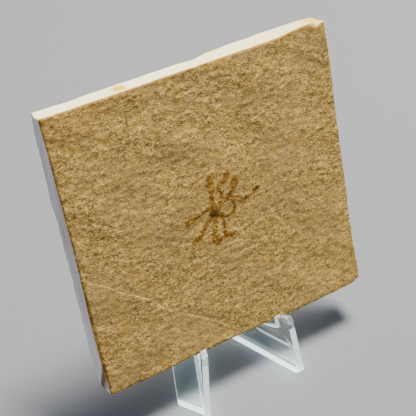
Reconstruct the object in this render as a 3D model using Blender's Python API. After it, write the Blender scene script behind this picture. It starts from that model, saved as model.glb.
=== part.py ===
"""Brittle star fossil plate on its clear easel.

A square sawn slab of buff limestone, with a small flattened fossil near the middle of its face,
leans back on a one-piece clear plastic easel. Units are metres, +Z is up, and the front faces -Y.
The origin is the centre of the underside of the whole object's box, on the table.
"""

import math
from typing import NamedTuple

import bmesh
import bpy
import numpy as np
from mathutils import Vector

MM = 0.001

# Slab, as seen square on
PLATE_WIDTH = 100.0 * MM
PLATE_HEIGHT = 94.8 * MM
PLATE_THICKNESS = 9.2 * MM
PLATE_LEAN = math.radians(20.25)
PLATE_CELLS = (34, 32, 6)
EDGE_CROWDING = 0.92
EDGE_ROUNDING = 0.21 * MM

# The split front face: nearly level around the fossil, and uneven beyond it
FRONT_LEVEL = 0.075 * MM
FRONT_MEAN = 0.275 * MM
FRONT_SWING = 0.20 * MM
LEVEL_CENTRE = (1.5 * MM, 47.0 * MM)
LEVEL_RADIUS = 15.0 * MM
LEVEL_FADE = 8.0 * MM

# The split back face and the sawn sides
BACK_SWING = 0.45 * MM
SAWN_WANDER = 0.20 * MM
BOTTOM_WANDER = 0.10 * MM
BEDDING_STEP = 0.25 * MM
BEDDING_TURNS = 9.0


class Lump(NamedTuple):
    """A broad swelling of the slab's back, or a thinning where the rise is negative, in mm."""

    right: float
    up: float
    reach_right: float
    reach_up: float
    rise: float


class Dent(NamedTuple):
    """A hollow in a cut side, or a swelling where the depth is negative, in mm along the side.

    It is centred at a share of the way from the front to the back, or with no such share it runs
    through the whole thickness.
    """

    along: float
    reach: float
    depth: float
    through: float | None = None
    reach_through: float = 1.0


class CutSide(NamedTuple):
    """How one cut side departs from a true plane."""

    wander_phase: float
    bedding_phase: float
    dents: tuple
    outward: float = 0.0
    wander: float = SAWN_WANDER
    bedding: float = BEDDING_STEP


BACK_LUMPS = (
    Lump(right=25.0, up=94.8, reach_right=25.0, reach_up=30.0, rise=1.9),
    Lump(right=-50.0, up=60.0, reach_right=22.0, reach_up=24.0, rise=0.9),
    Lump(right=-50.0, up=94.8, reach_right=20.0, reach_up=18.0, rise=-0.7),
)
LEFT_SIDE = CutSide(wander_phase=0.9, bedding_phase=0.4, dents=(
    Dent(along=15.0, reach=42.0, depth=-0.72),
    Dent(along=94.8, reach=8.0, depth=-0.2),
    Dent(along=6.0, reach=6.0, depth=0.4, through=0.0, reach_through=0.7),
    Dent(along=0.0, reach=4.0, depth=0.25, through=0.0, reach_through=0.7),
    Dent(along=2.0, reach=8.0, depth=0.3, through=0.4, reach_through=0.4),
    Dent(along=94.8, reach=7.0, depth=0.7, through=1.0, reach_through=0.8),
))
RIGHT_SIDE = CutSide(wander_phase=2.6, bedding_phase=2.2, dents=(
    Dent(along=18.0, reach=12.0, depth=0.42),
    Dent(along=48.0, reach=30.0, depth=0.14),
    Dent(along=27.0, reach=6.0, depth=0.22),
    Dent(along=78.0, reach=7.0, depth=-0.25),
    Dent(along=90.0, reach=14.0, depth=-0.6),
    Dent(along=3.0, reach=7.0, depth=-0.25),
))
BOTTOM_SIDE = CutSide(
    wander_phase=4.1,
    bedding_phase=0.0,
    dents=(
        Dent(along=-38.0, reach=22.0, depth=-0.35),
        Dent(along=28.0, reach=34.0, depth=-0.75),
        Dent(along=50.0, reach=3.5, depth=0.9),
        Dent(along=-50.0, reach=8.0, depth=0.2, through=1.0, reach_through=0.9),
    ),
    outward=0.8,
    wander=BOTTOM_WANDER,
    bedding=0.0,
)
TOP_SIDE = CutSide(wander_phase=5.2, bedding_phase=3.6, dents=(
    Dent(along=45.0, reach=16.0, depth=-1.05, through=0.0, reach_through=1.4),
    Dent(along=-50.0, reach=12.0, depth=-0.3),
    Dent(along=46.9, reach=2.2, depth=0.85, through=0.0, reach_through=0.9),
    Dent(along=50.0, reach=4.0, depth=0.6, through=0.0, reach_through=0.8),
    Dent(along=46.0, reach=6.0, depth=-0.35, through=1.0, reach_through=1.0),
    Dent(along=4.5, reach=6.0, depth=0.35, through=1.0, reach_through=0.6),
    Dent(along=28.0, reach=22.0, depth=-0.25, through=1.0, reach_through=1.2),
))

# Where the slab's bottom front edge stands, above the table and from the origin
FRONT_EDGE_HEIGHT = 18.0 * MM
FRONT_EDGE_Y = -14.6 * MM

# Easel
EASEL_CENTRE_X = -2.9 * MM
WEB_THICKNESS = 2.0 * MM
WEB_SPLAY = math.radians(23.0)
FOOT_HALF_SPREAD = 19.1 * MM
FOOT_TIP_Y = -13.4 * MM
FOOT_CORNER_Y = -14.0 * MM
FOOT_RADIUS = 1.9 * MM
FLANGE_WIDTH = 9.1 * MM
FLANGE_THICKNESS = 3.0 * MM
FLANGE_START = 1.6 * MM
FLANGE_FRONT_SLANT = 7.6 * MM
FLANGE_INNER_START = 3.0 * MM
FLANGE_BACK_RADIUS = 2.0 * MM
FLANGE_BITE = 0.05 * MM
HOOK_FRONT = (-7.5 * MM, 25.2 * MM)
HOOK_BACK = (-2.9 * MM, 22.8 * MM)
NOTCH_DEPTH_IN_FRONT = 4.0 * MM
SUPPORT_TOP_HEIGHT = 64.0 * MM
SUPPORT_TOP_RISE = 1.5 * MM
SUPPORT_STANDOFF = 10.1 * MM
CORNER_RADIUS = 0.9 * MM
HOOK_BACK_RADIUS = 0.5 * MM
NOTCH_RADIUS = 0.3 * MM
SUPPORT_TOP_RADIUS = 1.5 * MM
SPINE_RADIUS = 3.0 * MM
WEB_BOTTOM = 0.05 * MM

# How far the blocks that shape the easel reach past it
SHEET_AHEAD = 8.0 * MM
SHEET_BELOW = 5.0 * MM
SHEET_ABOVE = 10.0 * MM
SIDE_VIEW_HALF_WIDTH = 40.0 * MM
SIDE_VIEW_BEHIND = 6.0 * MM

# How far the ledge lies under the slab's nominal bottom edge, just clear of its lowest swelling
LEDGE_DROP = 1.6 * MM

# Clearance between pieces that touch in the real thing
GAP = 0.3 * MM

# Fossil, in millimetres on the slab's face: right of its centre line, up from its bottom edge
FOSSIL_HEIGHT = 0.40
DISC_CENTRE = (-1.8, 46.6)
DISC_HALF_SIZE = (1.6, 1.45, 0.7)
ARM_SIDES = 6
ARM_STEP = 0.9
ARM_LEVEL_STEP = 0.013
ARM_END_SHARE = 0.6
TRIM_REACH = 60.0
TRIM_DEPTH = 6.0

# Each arm: its centre line from the disc outward, and its width at the root, middle and tip
ARMS = {
    "left": ([(-1.8, 46.8), (-4.3, 48.5), (-6.5, 48.0), (-8.5, 47.1), (-11.8, 46.4)], (0.9, 0.8, 1.6)),
    "lower_left": ([(-1.8, 46.4), (-4.3, 44.2), (-6.3, 42.2), (-8.3, 40.3), (-10.6, 39.0)], (0.9, 0.9, 1.6)),
    "down": ([(-1.6, 46.0), (-1.6, 43.4), (-2.4, 40.8), (-3.4, 38.6), (-3.1, 36.7), (-1.6, 36.1),
              (-0.8, 37.2)], (1.3, 1.3, 1.5)),
    "down_right": ([(-1.2, 46.0), (0.9, 44.2), (1.4, 41.8), (1.0, 38.9), (1.7, 37.1), (3.9, 37.0)],
                   (0.9, 0.7, 1.9)),
    "loop": ([(-1.0, 45.8), (2.0, 44.1), (4.5, 44.0), (6.0, 45.4), (6.3, 47.0), (5.4, 48.9)],
             (1.0, 0.8, 1.1)),
    "right": ([(-1.4, 47.0), (0.9, 48.7), (3.9, 49.7), (6.9, 48.5), (9.2, 47.1), (12.1, 47.9),
               (13.9, 48.8), (15.8, 49.2)], (1.7, 1.1, 1.0)),
    "upper_right": ([(3.2, 49.4), (4.6, 50.7), (6.6, 51.7), (7.6, 53.4), (7.6, 55.2)], (1.2, 1.1, 2.1)),
    "short_hook": ([(0.9, 48.7), (1.7, 50.3), (2.4, 52.1), (1.4, 53.6)], (1.1, 0.8, 0.8)),
    "top_lobe": ([(1.4, 53.4), (2.0, 55.2), (3.7, 55.9), (5.4, 57.2), (5.1, 58.2)], (0.9, 1.5, 2.1)),
    "upward": ([(-1.8, 46.9), (-1.5, 50.0), (-1.3, 53.2), (-1.1, 55.8), (-0.5, 58.6)], (1.3, 1.2, 2.5)),
}


def clear_scene():
    """Remove every object that the new file starts with."""
    for old in list(bpy.data.objects):
        bpy.data.objects.remove(old, do_unlink=True)


def material(name, colour, roughness, alpha=1.0):
    """Make one plain Principled material."""
    made = bpy.data.materials.new(name)
    made.use_nodes = True
    shader = made.node_tree.nodes["Principled BSDF"]
    shader.inputs["Base Color"].default_value = (*colour, 1.0)
    shader.inputs["Roughness"].default_value = roughness
    shader.inputs["Alpha"].default_value = alpha
    made.diffuse_color = (*colour, alpha)
    return made


def add_object(name, mesh, finish):
    """Link a mesh to the scene as a named object with one material."""
    made = bpy.data.objects.new(name, mesh)
    bpy.context.collection.objects.link(made)
    if finish is not None:
        made.data.materials.append(finish)
    return made


def mesh_from_bmesh(name, bm):
    """Write a bmesh to a new mesh with its faces turned outward, and free it."""
    bm.normal_update()
    bmesh.ops.recalc_face_normals(bm, faces=bm.faces)
    mesh = bpy.data.meshes.new(name)
    bm.to_mesh(mesh)
    bm.free()
    return mesh


def on_plate(right, up, into):
    """Turn a place on the leaning slab (right, up the face, into the stone) into a world point."""
    return Vector((
        right,
        FRONT_EDGE_Y + up * math.sin(PLATE_LEAN) + into * math.cos(PLATE_LEAN),
        FRONT_EDGE_HEIGHT + up * math.cos(PLATE_LEAN) - into * math.sin(PLATE_LEAN),
    ))


def bump(x, centre, reach):
    """Return a smooth hump of height 1 at centre that fades to 0 at reach on either side."""
    t = min(abs(x - centre) / reach, 1.0)
    return (1.0 - t * t) ** 2


def waves(a, b, seed):
    """Return gentle unevenness between about -1 and 1 from a few crossing waves."""
    a, b = a / MM, b / MM
    return 0.5 * (
        math.sin(0.19 * a + 0.11 * b + seed) * math.cos(0.13 * b - 0.07 * a + 2.1 * seed)
        + 0.6 * math.sin(0.43 * b + 0.23 * a + 1.7 * seed)
        + 0.4 * math.sin(0.61 * a - 0.37 * b + 3.3 * seed)
    )


def front_depth(right, up):
    """Return how far the front face lies behind its flat plane; level around the fossil."""
    distance = math.hypot(right - LEVEL_CENTRE[0], up - LEVEL_CENTRE[1])
    beyond_fossil = min(max((distance - LEVEL_RADIUS) / LEVEL_FADE, 0.0), 1.0)
    return FRONT_LEVEL + beyond_fossil * (FRONT_MEAN + FRONT_SWING * waves(right, up, 0.4))


def back_depth(right, up):
    """Return the slab's thickness at a place, thicker in its lumps."""
    lumps = sum(
        lump.rise * MM
        * bump(right, lump.right * MM, lump.reach_right * MM)
        * bump(up, lump.up * MM, lump.reach_up * MM)
        for lump in BACK_LUMPS
    )
    return PLATE_THICKNESS + BACK_SWING * waves(right, up, 1.9) + lumps


def dent_depth(dent, along, depth_share):
    """Return how deep one dent is, at a place along its side and a share of the way to the back."""
    across = 1.0 if dent.through is None else bump(depth_share, dent.through, dent.reach_through)
    return dent.depth * MM * bump(along, dent.along * MM, dent.reach * MM) * across


def inset(side, along, depth_share):
    """Return how far a cut side stands in, at a place along it and a share of the way to its back."""
    wander = side.wander * waves(along, 0.0, side.wander_phase) * depth_share
    stepped = 0.5 * side.bedding * math.sin(BEDDING_TURNS * depth_share + side.bedding_phase)
    if depth_share == 0:
        stepped = 0.0
    dents = sum(dent_depth(dent, along, depth_share) for dent in side.dents)
    return wander + stepped + dents - side.outward * MM


def crowded(index, count):
    """Return a share from 0 to 1 whose steps are narrower near both ends."""
    share = index / count
    end_heavy = 0.5 - 0.5 * math.cos(math.pi * share)
    return share + EDGE_CROWDING * (end_heavy - share)


def edge_pull(index, last):
    """Return which way an edge point is drawn in from one pair of sides: 1, -1 or 0."""
    return (index == 0) - (index == last)


def slab_point(i, j, k):
    """Return the world place of one lattice point on the slab's surface."""
    across, upward, through = PLATE_CELLS
    a, b, c = crowded(i, across), crowded(j, upward), k / through
    right = (a - 0.5) * PLATE_WIDTH
    up = b * PLATE_HEIGHT
    low = -PLATE_WIDTH / 2 + inset(LEFT_SIDE, up, c)
    high = PLATE_WIDTH / 2 - inset(RIGHT_SIDE, up, c)
    foot = inset(BOTTOM_SIDE, right, c)
    head = PLATE_HEIGHT - inset(TOP_SIDE, right, c)
    front, back = front_depth(right, up), back_depth(right, up)
    pulls = edge_pull(i, across), edge_pull(j, upward), edge_pull(k, through)
    reach = EDGE_ROUNDING * max(sum(map(abs, pulls)) - 1, 0)
    return on_plate(
        low + a * (high - low) + pulls[0] * reach,
        foot + b * (head - foot) + pulls[1] * reach,
        front + c * (back - front) + pulls[2] * reach,
    )


def make_slab(finish):
    """Build the limestone slab: six uneven sides on one lattice."""
    across, upward, through = PLATE_CELLS
    bm = bmesh.new()
    points = {}

    def point(i, j, k):
        if (i, j, k) not in points:
            points[i, j, k] = bm.verts.new(slab_point(i, j, k))
        return points[i, j, k]

    for i in range(across):
        for j in range(upward):
            for k in (0, through):
                bm.faces.new((point(i, j, k), point(i + 1, j, k), point(i + 1, j + 1, k), point(i, j + 1, k)))
    for k in range(through):
        for i in range(across):
            for j in (0, upward):
                bm.faces.new((point(i, j, k), point(i + 1, j, k), point(i + 1, j, k + 1), point(i, j, k + 1)))
        for j in range(upward):
            for i in (0, across):
                bm.faces.new((point(i, j, k), point(i, j + 1, k), point(i, j + 1, k + 1), point(i, j, k + 1)))
    return add_object("limestone_plate", mesh_from_bmesh("limestone_plate", bm), finish)


def smooth_path(points, step):
    """Return evenly spaced places on a smooth curve through the given points."""
    knots = [np.array(p, dtype=float) for p in points]
    padded = [2 * knots[0] - knots[1], *knots, 2 * knots[-1] - knots[-2]]
    path = []
    for n in range(1, len(padded) - 2):
        before, start, end, after = padded[n - 1:n + 3]
        pieces = max(1, round(float(np.linalg.norm(end - start)) / step))
        for m in range(pieces):
            t = m / pieces
            path.append(0.5 * (
                2 * start + (end - before) * t
                + (2 * before - 5 * start + 4 * end - after) * t ** 2
                + (3 * start - before - 3 * end + after) * t ** 3
            ))
    path.append(knots[-1])
    return path


def arm_body(name, points, widths, level):
    """Build one arm as a closed, flattened tube with rounded ends along its centre line."""
    path = smooth_path(points, ARM_STEP)
    end_width = ARM_END_SHARE * widths[-1]
    bm = bmesh.new()
    rings = []
    last = len(path) - 1
    for n, place in enumerate(path):
        along = path[min(n + 1, last)] - path[max(n - 1, 0)]
        along /= np.linalg.norm(along)
        side = np.array((along[1], -along[0]))
        share = n / last
        half_width = 0.5 * float(np.interp(share, (0.0, 0.5, 0.85, 1.0), (*widths, end_width)))
        ring = []
        for s in range(ARM_SIDES):
            angle = 2 * math.pi * (s + 0.25) / ARM_SIDES
            across = place + side * half_width * math.cos(angle)
            proud = FOSSIL_HEIGHT * math.sin(angle) + level
            ring.append(bm.verts.new(on_plate(across[0] * MM, across[1] * MM, -GAP - proud * MM)))
        rings.append(ring)
    for first, second in zip(rings, rings[1:]):
        for s in range(ARM_SIDES):
            t = (s + 1) % ARM_SIDES
            bm.faces.new((first[s], first[t], second[t], second[s]))
    bm.faces.new(rings[0])
    bm.faces.new(list(reversed(rings[-1])))
    return add_object(name, mesh_from_bmesh(name, bm), None)


def disc_body():
    """Build the fossil's central disc as a low dome."""
    bm = bmesh.new()
    bmesh.ops.create_uvsphere(bm, u_segments=16, v_segments=8, radius=1.0)
    for vertex in bm.verts:
        right = DISC_CENTRE[0] + DISC_HALF_SIZE[0] * vertex.co.x
        up = DISC_CENTRE[1] + DISC_HALF_SIZE[1] * vertex.co.y
        vertex.co = on_plate(right * MM, up * MM, -GAP - DISC_HALF_SIZE[2] * vertex.co.z * MM)
    return add_object("fossil_disc", mesh_from_bmesh("fossil_disc", bm), None)


def half_space_cutter():
    """Build the block that trims the fossil flat, just clear of the slab's face."""
    bm = bmesh.new()
    bmesh.ops.create_cube(bm, size=1.0)
    for vertex in bm.verts:
        vertex.co = on_plate(
            (DISC_CENTRE[0] + vertex.co.x * TRIM_REACH) * MM,
            (DISC_CENTRE[1] + vertex.co.y * TRIM_REACH) * MM,
            -GAP + (vertex.co.z + 0.5) * TRIM_DEPTH * MM,
        )
    return add_object("fossil_trim", mesh_from_bmesh("fossil_trim", bm), None)


def combine(target, others, operation):
    """Apply a Boolean of each other body to the target in turn, and remove the others."""
    for other in others:
        modifier = target.modifiers.new("combine", "BOOLEAN")
        modifier.operation = operation
        modifier.solver = "EXACT"
        modifier.object = other
        evaluated = target.evaluated_get(bpy.context.evaluated_depsgraph_get())
        result = bpy.data.meshes.new_from_object(evaluated)
        target.modifiers.clear()
        target.data = result
        bpy.data.objects.remove(other, do_unlink=True)
    return target


def make_fossil(finish):
    """Build the fossil: a disc and its curled arms in one low relief, flat behind."""
    disc = disc_body()
    arms = []
    for n, (name, (points, widths)) in enumerate(ARMS.items()):
        arms.append(arm_body("arm_" + name, points, widths, ARM_LEVEL_STEP * n))
    combine(disc, arms, "UNION")
    combine(disc, [half_space_cutter()], "DIFFERENCE")
    disc.name = "brittle_star_fossil"
    disc.data.materials.clear()
    disc.data.materials.append(finish)
    return disc


def fillet(before, corner, after, radius, steps=4):
    """Return the points that round one corner of an outline."""
    c = np.array(corner)
    to_before = np.array(before) - c
    to_after = np.array(after) - c
    to_before /= np.linalg.norm(to_before)
    to_after /= np.linalg.norm(to_after)
    half = 0.5 * math.acos(float(np.clip(to_before @ to_after, -1.0, 1.0)))
    start, end = c + to_before * radius / math.tan(half), c + to_after * radius / math.tan(half)
    middle = to_before + to_after
    centre = c + middle / np.linalg.norm(middle) * radius / math.sin(half)
    points = []
    for n in range(steps + 1):
        t = n / steps
        spoke = (start - centre) * (1 - t) + (end - centre) * t
        points.append(tuple(centre + spoke / np.linalg.norm(spoke) * radius))
    return points


def round_outline(corners):
    """Turn corners, each two coordinates and a radius, into an outline with rounded corners."""
    outline = []
    for n, (a, b, radius) in enumerate(corners):
        before, after = corners[n - 1][:2], corners[(n + 1) % len(corners)][:2]
        outline += [(a, b)] if radius == 0 else fillet(before, (a, b), after, radius)
    return outline


def slab_side(up, into):
    """Return a place of the slab's side view as distance behind its front edge, and height."""
    return (up * math.sin(PLATE_LEAN) + into * math.cos(PLATE_LEAN),
            FRONT_EDGE_HEIGHT + up * math.cos(PLATE_LEAN) - into * math.sin(PLATE_LEAN))


def spine_y():
    """Return where the two webs meet, behind the slab's bottom front edge."""
    return FOOT_TIP_Y + FOOT_HALF_SPREAD / math.tan(WEB_SPLAY)


def web_outline():
    """Return the easel's side view: foot, front edge, hook, notch, ledge, support edge and back."""
    notch_front = slab_side(-LEDGE_DROP, -NOTCH_DEPTH_IN_FRONT)
    notch_back = slab_side(-LEDGE_DROP, SUPPORT_STANDOFF)
    up_support = (SUPPORT_TOP_HEIGHT - notch_back[1]) / math.cos(PLATE_LEAN)
    support_top = (notch_back[0] + up_support * math.sin(PLATE_LEAN), SUPPORT_TOP_HEIGHT)
    back = spine_y() + SIDE_VIEW_BEHIND
    return round_outline([
        (FOOT_CORNER_Y, WEB_BOTTOM, FOOT_RADIUS),
        (*HOOK_FRONT, CORNER_RADIUS),
        (*HOOK_BACK, HOOK_BACK_RADIUS),
        (*notch_front, NOTCH_RADIUS),
        (*notch_back, NOTCH_RADIUS),
        (*support_top, SUPPORT_TOP_RADIUS),
        (back, SUPPORT_TOP_HEIGHT + SUPPORT_TOP_RISE, 0.0),
        (back, WEB_BOTTOM, 0.0),
    ])


def in_web_plan(side, along, outward):
    """Return the plan place at a distance along a web from its foot tip, and outward from it."""
    x = side * (FOOT_HALF_SPREAD - along * math.sin(WEB_SPLAY) + outward * math.cos(WEB_SPLAY))
    y = FOOT_TIP_Y + along * math.cos(WEB_SPLAY) + outward * math.sin(WEB_SPLAY)
    return EASEL_CENTRE_X + x, FRONT_EDGE_Y + y


def apex(outward):
    """Return where the two webs' lines at one distance outward cross, on the easel's centre line."""
    return EASEL_CENTRE_X, FRONT_EDGE_Y + spine_y() + outward / math.sin(WEB_SPLAY)


def prism(name, ring_low, ring_high):
    """Build a closed prism between two matching rings of points."""
    bm = bmesh.new()
    low = [bm.verts.new(p) for p in ring_low]
    high = [bm.verts.new(p) for p in ring_high]
    for n in range(len(low)):
        m = (n + 1) % len(low)
        bm.faces.new((low[n], low[m], high[m], high[n]))
    bm.faces.new(list(reversed(low)))
    bm.faces.new(high)
    return add_object(name, mesh_from_bmesh(name, bm), None)


def upright(name, outline, low, high):
    """Build an upright prism from a plan outline."""
    return prism(name, [(x, y, low) for x, y in outline], [(x, y, high) for x, y in outline])


def side_view_body():
    """Build the easel's side view as a block that spans both webs, to shape them."""
    rings = [[(EASEL_CENTRE_X + x, FRONT_EDGE_Y + y, height) for y, height in web_outline()]
             for x in (-SIDE_VIEW_HALF_WIDTH, SIDE_VIEW_HALF_WIDTH)]
    return prism("side_view", *rings)


def folded_sheet():
    """Build the V-shaped upright sheet, higher and longer in front than the easel."""
    half = WEB_THICKNESS / 2
    right_out, right_in = in_web_plan(1, -SHEET_AHEAD, half), in_web_plan(1, -SHEET_AHEAD, -half)
    left_in, left_out = in_web_plan(-1, -SHEET_AHEAD, -half), in_web_plan(-1, -SHEET_AHEAD, half)
    fold = fillet(left_out, apex(half), right_out, SPINE_RADIUS, 8)
    outline = [right_out, right_in, apex(-half), left_in, left_out, *fold]
    return upright("folded_sheet", outline, -SHEET_BELOW, SUPPORT_TOP_HEIGHT + SHEET_ABOVE)


def base_flange():
    """Build the flat base that lies on the table along the outer sides of both webs."""
    length = (spine_y() - FOOT_TIP_Y) / math.cos(WEB_SPLAY)
    inner = -WEB_THICKNESS / 2 + FLANGE_BITE
    outer = [(FLANGE_START, 0.0, 0.0), (FLANGE_FRONT_SLANT, FLANGE_WIDTH, CORNER_RADIUS),
             (length, FLANGE_WIDTH, FLANGE_BACK_RADIUS)]
    tip = (FLANGE_INNER_START, inner, 0.0)
    right = [(*in_web_plan(1, along, outward), radius) for along, outward, radius in (tip, *outer)]
    left = [(*in_web_plan(-1, along, outward), radius) for along, outward, radius in (tip, *outer)]
    outline = round_outline([*right, *reversed(left), (*apex(inner), 0.0)])
    return upright("base_flange", outline, 0.0, FLANGE_THICKNESS)


def make_easel(finish):
    """Build the clear easel: two webs folded at the back, on their base flange, in one solid."""
    easel = folded_sheet()
    combine(easel, [side_view_body()], "INTERSECT")
    combine(easel, [base_flange()], "UNION")
    easel.name = "clear_easel"
    easel.data.materials.clear()
    easel.data.materials.append(finish)
    return easel


def main():
    """Build the three pieces."""
    clear_scene()
    make_slab(material("limestone", (0.47, 0.33, 0.16), 0.9))
    make_fossil(material("fossil_brown", (0.16, 0.07, 0.03), 0.6))
    make_easel(material("clear_plastic", (0.85, 0.92, 0.93), 0.05, alpha=0.35))


main()
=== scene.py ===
"""The looks of a fossil plate: a sawn limestone slab with a small flattened fossil, on a clear easel."""

import logging
import math
from dataclasses import dataclass
from enum import Enum

import bmesh
import bpy
import numpy as np
from mathutils import Matrix, Vector


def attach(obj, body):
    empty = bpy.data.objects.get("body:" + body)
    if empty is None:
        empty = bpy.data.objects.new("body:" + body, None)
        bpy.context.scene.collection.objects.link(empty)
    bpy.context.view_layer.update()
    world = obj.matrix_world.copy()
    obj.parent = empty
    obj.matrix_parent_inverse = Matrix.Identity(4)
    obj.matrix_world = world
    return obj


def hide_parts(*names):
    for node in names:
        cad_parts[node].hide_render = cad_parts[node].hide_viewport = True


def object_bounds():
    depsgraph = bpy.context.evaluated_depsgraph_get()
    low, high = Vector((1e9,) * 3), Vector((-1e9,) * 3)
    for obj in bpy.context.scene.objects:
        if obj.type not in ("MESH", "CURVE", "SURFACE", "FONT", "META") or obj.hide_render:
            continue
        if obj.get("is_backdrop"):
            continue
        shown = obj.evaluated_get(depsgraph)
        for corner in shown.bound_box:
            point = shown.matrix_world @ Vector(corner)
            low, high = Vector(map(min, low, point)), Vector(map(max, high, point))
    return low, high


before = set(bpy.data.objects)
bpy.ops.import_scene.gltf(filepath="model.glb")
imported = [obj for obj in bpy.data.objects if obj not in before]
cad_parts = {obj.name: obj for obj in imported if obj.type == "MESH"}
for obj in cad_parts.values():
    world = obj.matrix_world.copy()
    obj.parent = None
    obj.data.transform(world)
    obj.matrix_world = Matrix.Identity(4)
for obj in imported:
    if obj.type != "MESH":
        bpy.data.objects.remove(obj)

MM = 0.001
BODY = "root"
LOG = logging.getLogger("fossil_plate")
Array = np.ndarray
Pair = tuple[float, float]
Colour = tuple[float, float, float]
Piece = bpy.types.Object
Group = bpy.types.NodeTree
Socket = bpy.types.NodeSocket

# The kinds of socket on a shader group
VALUE = "NodeSocketFloat"
COLOUR = "NodeSocketColor"
VECTOR = "NodeSocketVector"

# The colour attributes that carry masks from the meshes to the shaders
STONE_MARKS = "stone_marks"
STONE_LINES = "stone_lines"
FOSSIL_MARKS = "fossil_marks"

# The noise: the factors that scatter its cells, the bits that it keeps, and its layers' lean and fade
SCATTER_X, SCATTER_Y, SCATTER_SEED, SCATTER_AGAIN = 374761393, 668265263, 144269504, 1274126177
WORD, HALF_WORD = 0xFFFFFFFF, 0xFFFF
LAYER_LEAN, LAYER_FADE, LAYERS_SUM = 0.35, 0.62, 1.6


class StoneMark(Enum):
    """The channels of the colour attribute that carries the stone's marks."""

    IRON = 0
    # Dark rims, pits and seams, with painted shade and shadow in places on the front and the left side
    DARK = 1
    PALE = 2
    # Pale lines and painted light on the front; on the cut sides the cold grey copy of the cut stone, painted
    # shade
    CRUST = 3


class StoneLine(Enum):
    """The channels of the colour attribute that places the stone's fine lines."""

    CREASE_SIDE = 0
    CREASE = 1
    FAINT_SIDE = 2
    FAINT = 3


class FossilMark(Enum):
    """The channels of the colour attribute that carries the fossil's stain."""

    RUST = 0
    DARK = 1
    GOLD = 2
    DISC = 3


class EaselFace(Enum):
    """The four kinds of face on the easel, in the order of its material slots."""

    POLISHED = 0
    CUT_EDGE = 1
    HOOK_EDGE = 2
    BASE_EDGE = 3


# Shapes and noise shared by the pieces


def smooth_noise(x: Array, y: Array, seed: int) -> Array:
    """Return smooth random hills, the same on every run.

    Args:
        x: Places along the first axis, in hill widths.
        y: Places along the second axis, in hill widths.
        seed: Which pattern of hills.

    Returns:
        Values between -1 and 1, one for each place.
    """
    cell_x, cell_y = np.floor(x).astype(np.int64), np.floor(y).astype(np.int64)
    part_x, part_y = x - cell_x, y - cell_y
    ease_x = part_x * part_x * (3 - 2 * part_x)
    ease_y = part_y * part_y * (3 - 2 * part_y)

    def corner(step_x: int, step_y: int) -> Array:
        """Return the random height of one corner of each place's cell."""
        mixed = (cell_x + step_x) * SCATTER_X + (cell_y + step_y) * SCATTER_Y + seed * SCATTER_SEED
        mixed = ((mixed & WORD) ^ ((mixed & WORD) >> 13)) * SCATTER_AGAIN
        mixed = (mixed & WORD) ^ ((mixed & WORD) >> 16)
        return (mixed & HALF_WORD) / (HALF_WORD / 2) - 1.0

    near = corner(0, 0) * (1 - ease_x) + corner(1, 0) * ease_x
    far = corner(0, 1) * (1 - ease_x) + corner(1, 1) * ease_x
    return near * (1 - ease_y) + far * ease_y


def rough(x: Array, y: Array, length: float, width: float, seed: int, octaves: int = 3) -> Array:
    """Return layered noise with streaks that run along the first axis.

    Args:
        x: Places along the first axis, in mm.
        y: Places along the second axis, in mm.
        length: Length of the largest streaks, in mm.
        width: Width of the largest streaks, in mm.
        seed: Which pattern.
        octaves: How many layers, each half the size of the one before.

    Returns:
        Values between about -1 and 1.
    """
    total = np.zeros(np.broadcast(x, y).shape)
    weight = 1.0
    for layer in range(octaves):
        scale = 2.0 ** layer
        lean = LAYER_LEAN * (-1) ** layer
        total += weight * smooth_noise((x + lean * y) * scale / length, y * scale / width, seed + 17 * layer)
        weight *= LAYER_FADE
    return total / LAYERS_SUM


def bump(place: Array, centre: float, reach: float) -> Array:
    """Return a smooth hump of height 1 at centre that fades to 0 at reach on either side."""
    away = np.minimum(np.abs(place - centre) / reach, 1.0)
    return (1.0 - away * away) ** 2


def waves(a: Array, b: Array, phase: float) -> Array:
    """Return the slab's broad unevenness, between about -1 and 1, at places in mm."""
    return 0.5 * (
        np.sin(0.19 * a + 0.11 * b + phase) * np.cos(0.13 * b - 0.07 * a + 2.1 * phase)
        + 0.6 * np.sin(0.43 * b + 0.23 * a + 1.7 * phase)
        + 0.4 * np.sin(0.61 * a - 0.37 * b + 3.3 * phase)
    )


def ease(value: Array, start: float, end: float) -> Array:
    """Return a smooth step from 0 at start to 1 at end."""
    share = np.clip((value - start) / (end - start), 0.0, 1.0)
    return share * share * (3 - 2 * share)


def patch(x: Array, y: Array, centre: Pair, reach: float, core: float, squash: float = 1.0) -> Array:
    """Return a soft round mask: 1 inside its core, 0 beyond its reach, and squashed along the second axis."""
    return ease(np.hypot(x - centre[0], (y - centre[1]) * squash), reach, core)


def distance_to_path(x: Array, y: Array, path: Array) -> tuple[Array, Array]:
    """Return how far places lie from a fine chain of points, and the nearest point's index.

    Args:
        x: Places along the first axis, a flat array.
        y: Places along the second axis, a flat array.
        path: The chain's points, one per row.

    Returns:
        The distances, and the index of the nearest point for each place.
    """
    best = np.full(x.shape, np.inf)
    index = np.zeros(x.shape, dtype=int)
    for number, (path_x, path_y) in enumerate(path):
        away = np.hypot(x - path_x, y - path_y)
        closer = away < best
        best[closer] = away[closer]
        index[closer] = number
    return best, index


def side_of_path(x: Array, y: Array, path: Array) -> Array:
    """Return how far places lie from a fine chain of points, negative on its right-hand side.

    Args:
        x: Places along the first axis, a flat array.
        y: Places along the second axis, a flat array.
        path: The chain's points, one per row.

    Returns:
        Signed distances, in the same unit.
    """
    away, index = distance_to_path(x, y, path)
    run = np.gradient(path, axis=0)[index]
    across = run[:, 0] * (y - path[index, 1]) - run[:, 1] * (x - path[index, 0])
    return np.where(across < 0, -away, away)


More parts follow.
